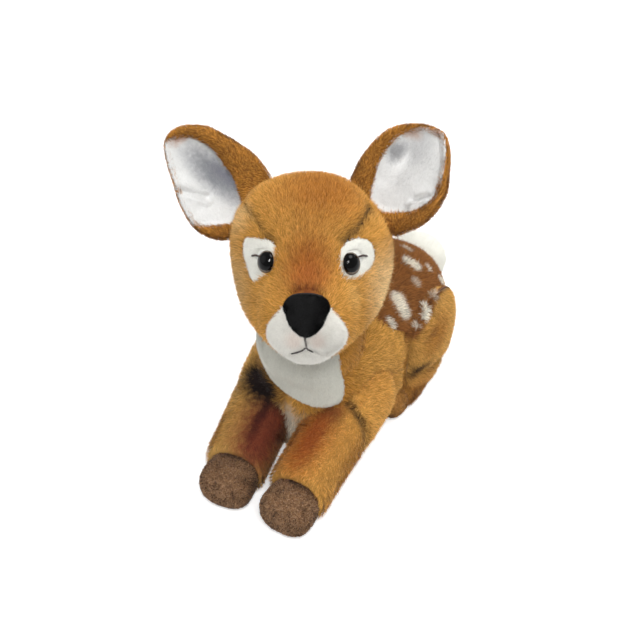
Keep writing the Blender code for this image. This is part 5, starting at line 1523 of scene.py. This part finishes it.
for (side, _), seed in zip(bothSides, (51, 61)):
    leg, hoof, finish = "front_leg_" + side, "front_hoof_" + side, "leg" + side.title()
    haunch, lower, foot = "haunch_" + side, "hind_leg_" + side, "hind_hoof_" + side
    coat(leg + "_%s", skins[leg], finish, brown, (leg, "front_leg_stuffing_" + side), frontLegLook["pile"], combToHoof, seed)
    coat(hoof + "_%s", skins[hoof], "hoof", "hoof_plush", (hoof,), frontHoofLook["pile"], combToHoof, seed + 1)
    coat("haunch_%s_" + side, skins[haunch], "haunch", brown, (haunch, "haunch_stuffing_" + side), haunchLook["pile"],
         combed(0, 0.55, -0.85), seed + 2, shares=coatShares)
    coat("hind_leg_%s_" + side, skins[lower], "haunch", brown, (lower,), hindLegLook["pile"], combForward, seed + 3)
    coat("hind_hoof_%s_" + side, skins[foot], "hindHoof", "hoof_plush", (foot,), hindHoofLook["pile"], combForward, seed + 4)

coat("tail_%s", skins["tail"], "tail", pale, ("tail",), tailLook["pile"], combed(0, 1.6, 0.4), 71)
print("pieces and pile made")

# The pellet bag lies inside

dressNode("pellet_bag", "bag")


# Floor, lamps and camera

studio = {
    "floor": 0.86, "world": 0.52, "azimuth": 29.0, "elevation": 41.0, "target": (-0.0086, 0, 0.076), "distance": 0.823,
    "metresPerPixel": 0.00065, "width": 640,
    # place, size, power and whether it lights more than the eyes' gloss
    "lamps": {
        "keyLamp": ((0.50, -0.50, 1.22), 0.5, 8.0, True), "fillLamp": ((-0.85, -0.50, 0.60), 0.9, 1.3, True),
        "rimLamp": ((0.25, 0.50, 1.15), 0.7, 6.5, True), "frontLamp": ((0.10, -0.70, 0.95), 0.30, 1.3, True),
        "glintLamp": ((0.33, -0.57, 0.83), 0.05, 4.0, False), "secondGlintLamp": ((0.26, -0.46, 0.92), 0.05, 4.0, False)},
}


def makeFloor():
    mesh = bpy.data.meshes.new("floor")
    mesh.from_pydata([(-6, -6, 0), (6, -6, 0), (6, 6, 0), (-6, 6, 0)], [], [(0, 1, 2, 3)])
    floor = addObject("floor", mesh)
    made, tree, shader = newMaterial("paleFloor")
    shade = studio["floor"]
    cloud = addNode(tree, "TexNoise", {"Vector": inObject(tree), "Scale": 3.0}).outputs["Fac"]
    feed(tree, shader["Base Color"], mixColours(tree, cloud, (shade,) * 3, (shade * 0.99,) * 3))
    shader["Roughness"].default_value = 0.9
    path = addNode(tree, "LightPath").outputs
    seen = maths(tree, "MAXIMUM", path["Is Camera Ray"], path["Is Glossy Ray"], clamp=True)
    shader["Emission Color"].default_value = (1, 1, 1, 1)
    feed(tree, shader["Emission Strength"], maths(tree, "MULTIPLY", seen, 0.55))
    mesh.materials.append(made)


def makeWorld():
    world = bpy.data.worlds.new("studio")
    bpy.context.scene.world = world
    world.use_nodes = True
    tree = world.node_tree
    background = tree.nodes["Background"].inputs
    path = addNode(tree, "LightPath").outputs
    seen = maths(tree, "MAXIMUM", path["Is Camera Ray"], path["Is Transmission Ray"])
    background["Color"].default_value = (1, 1, 1, 1)
    level = addNode(tree, "MapRange", {"Value": seen, "To Min": studio["world"], "To Max": 1.0})
    feed(tree, background["Strength"], level.outputs[0])


def makeLamp(name, place, size, power, diffuse):
    lamp = bpy.data.lights.new(name, "AREA")
    lamp.shape, lamp.size, lamp.energy = "DISK", size, power
    thing = addObject(name, lamp)
    thing.location = place
    thing.rotation_euler = (Vector((0, 0, 0.08)) - Vector(place)).to_track_quat("-Z", "Y").to_euler()
    thing.visible_diffuse = diffuse


def makeCamera():
    turn, up = math.radians(studio["azimuth"]), math.radians(studio["elevation"])
    out = Vector((math.sin(turn) * math.cos(up), -math.cos(turn) * math.cos(up), math.sin(up)))
    lens = bpy.data.cameras.new("camera")
    lens.sensor_width = 36
    lens.lens = lens.sensor_width * studio["distance"] / studio["metresPerPixel"] / studio["width"]
    lens.clip_start = 0.01
    camera = addObject("camera", lens)
    camera.location = Vector(studio["target"]) + out * studio["distance"]
    camera.rotation_euler = (-out).to_track_quat("-Z", "Y").to_euler()
    bpy.context.scene.camera = camera


makeFloor()
makeWorld()
for name, lamp in studio["lamps"].items():
    makeLamp(name, *lamp)
makeCamera()
bpy.context.scene.view_settings.view_transform = "Standard"
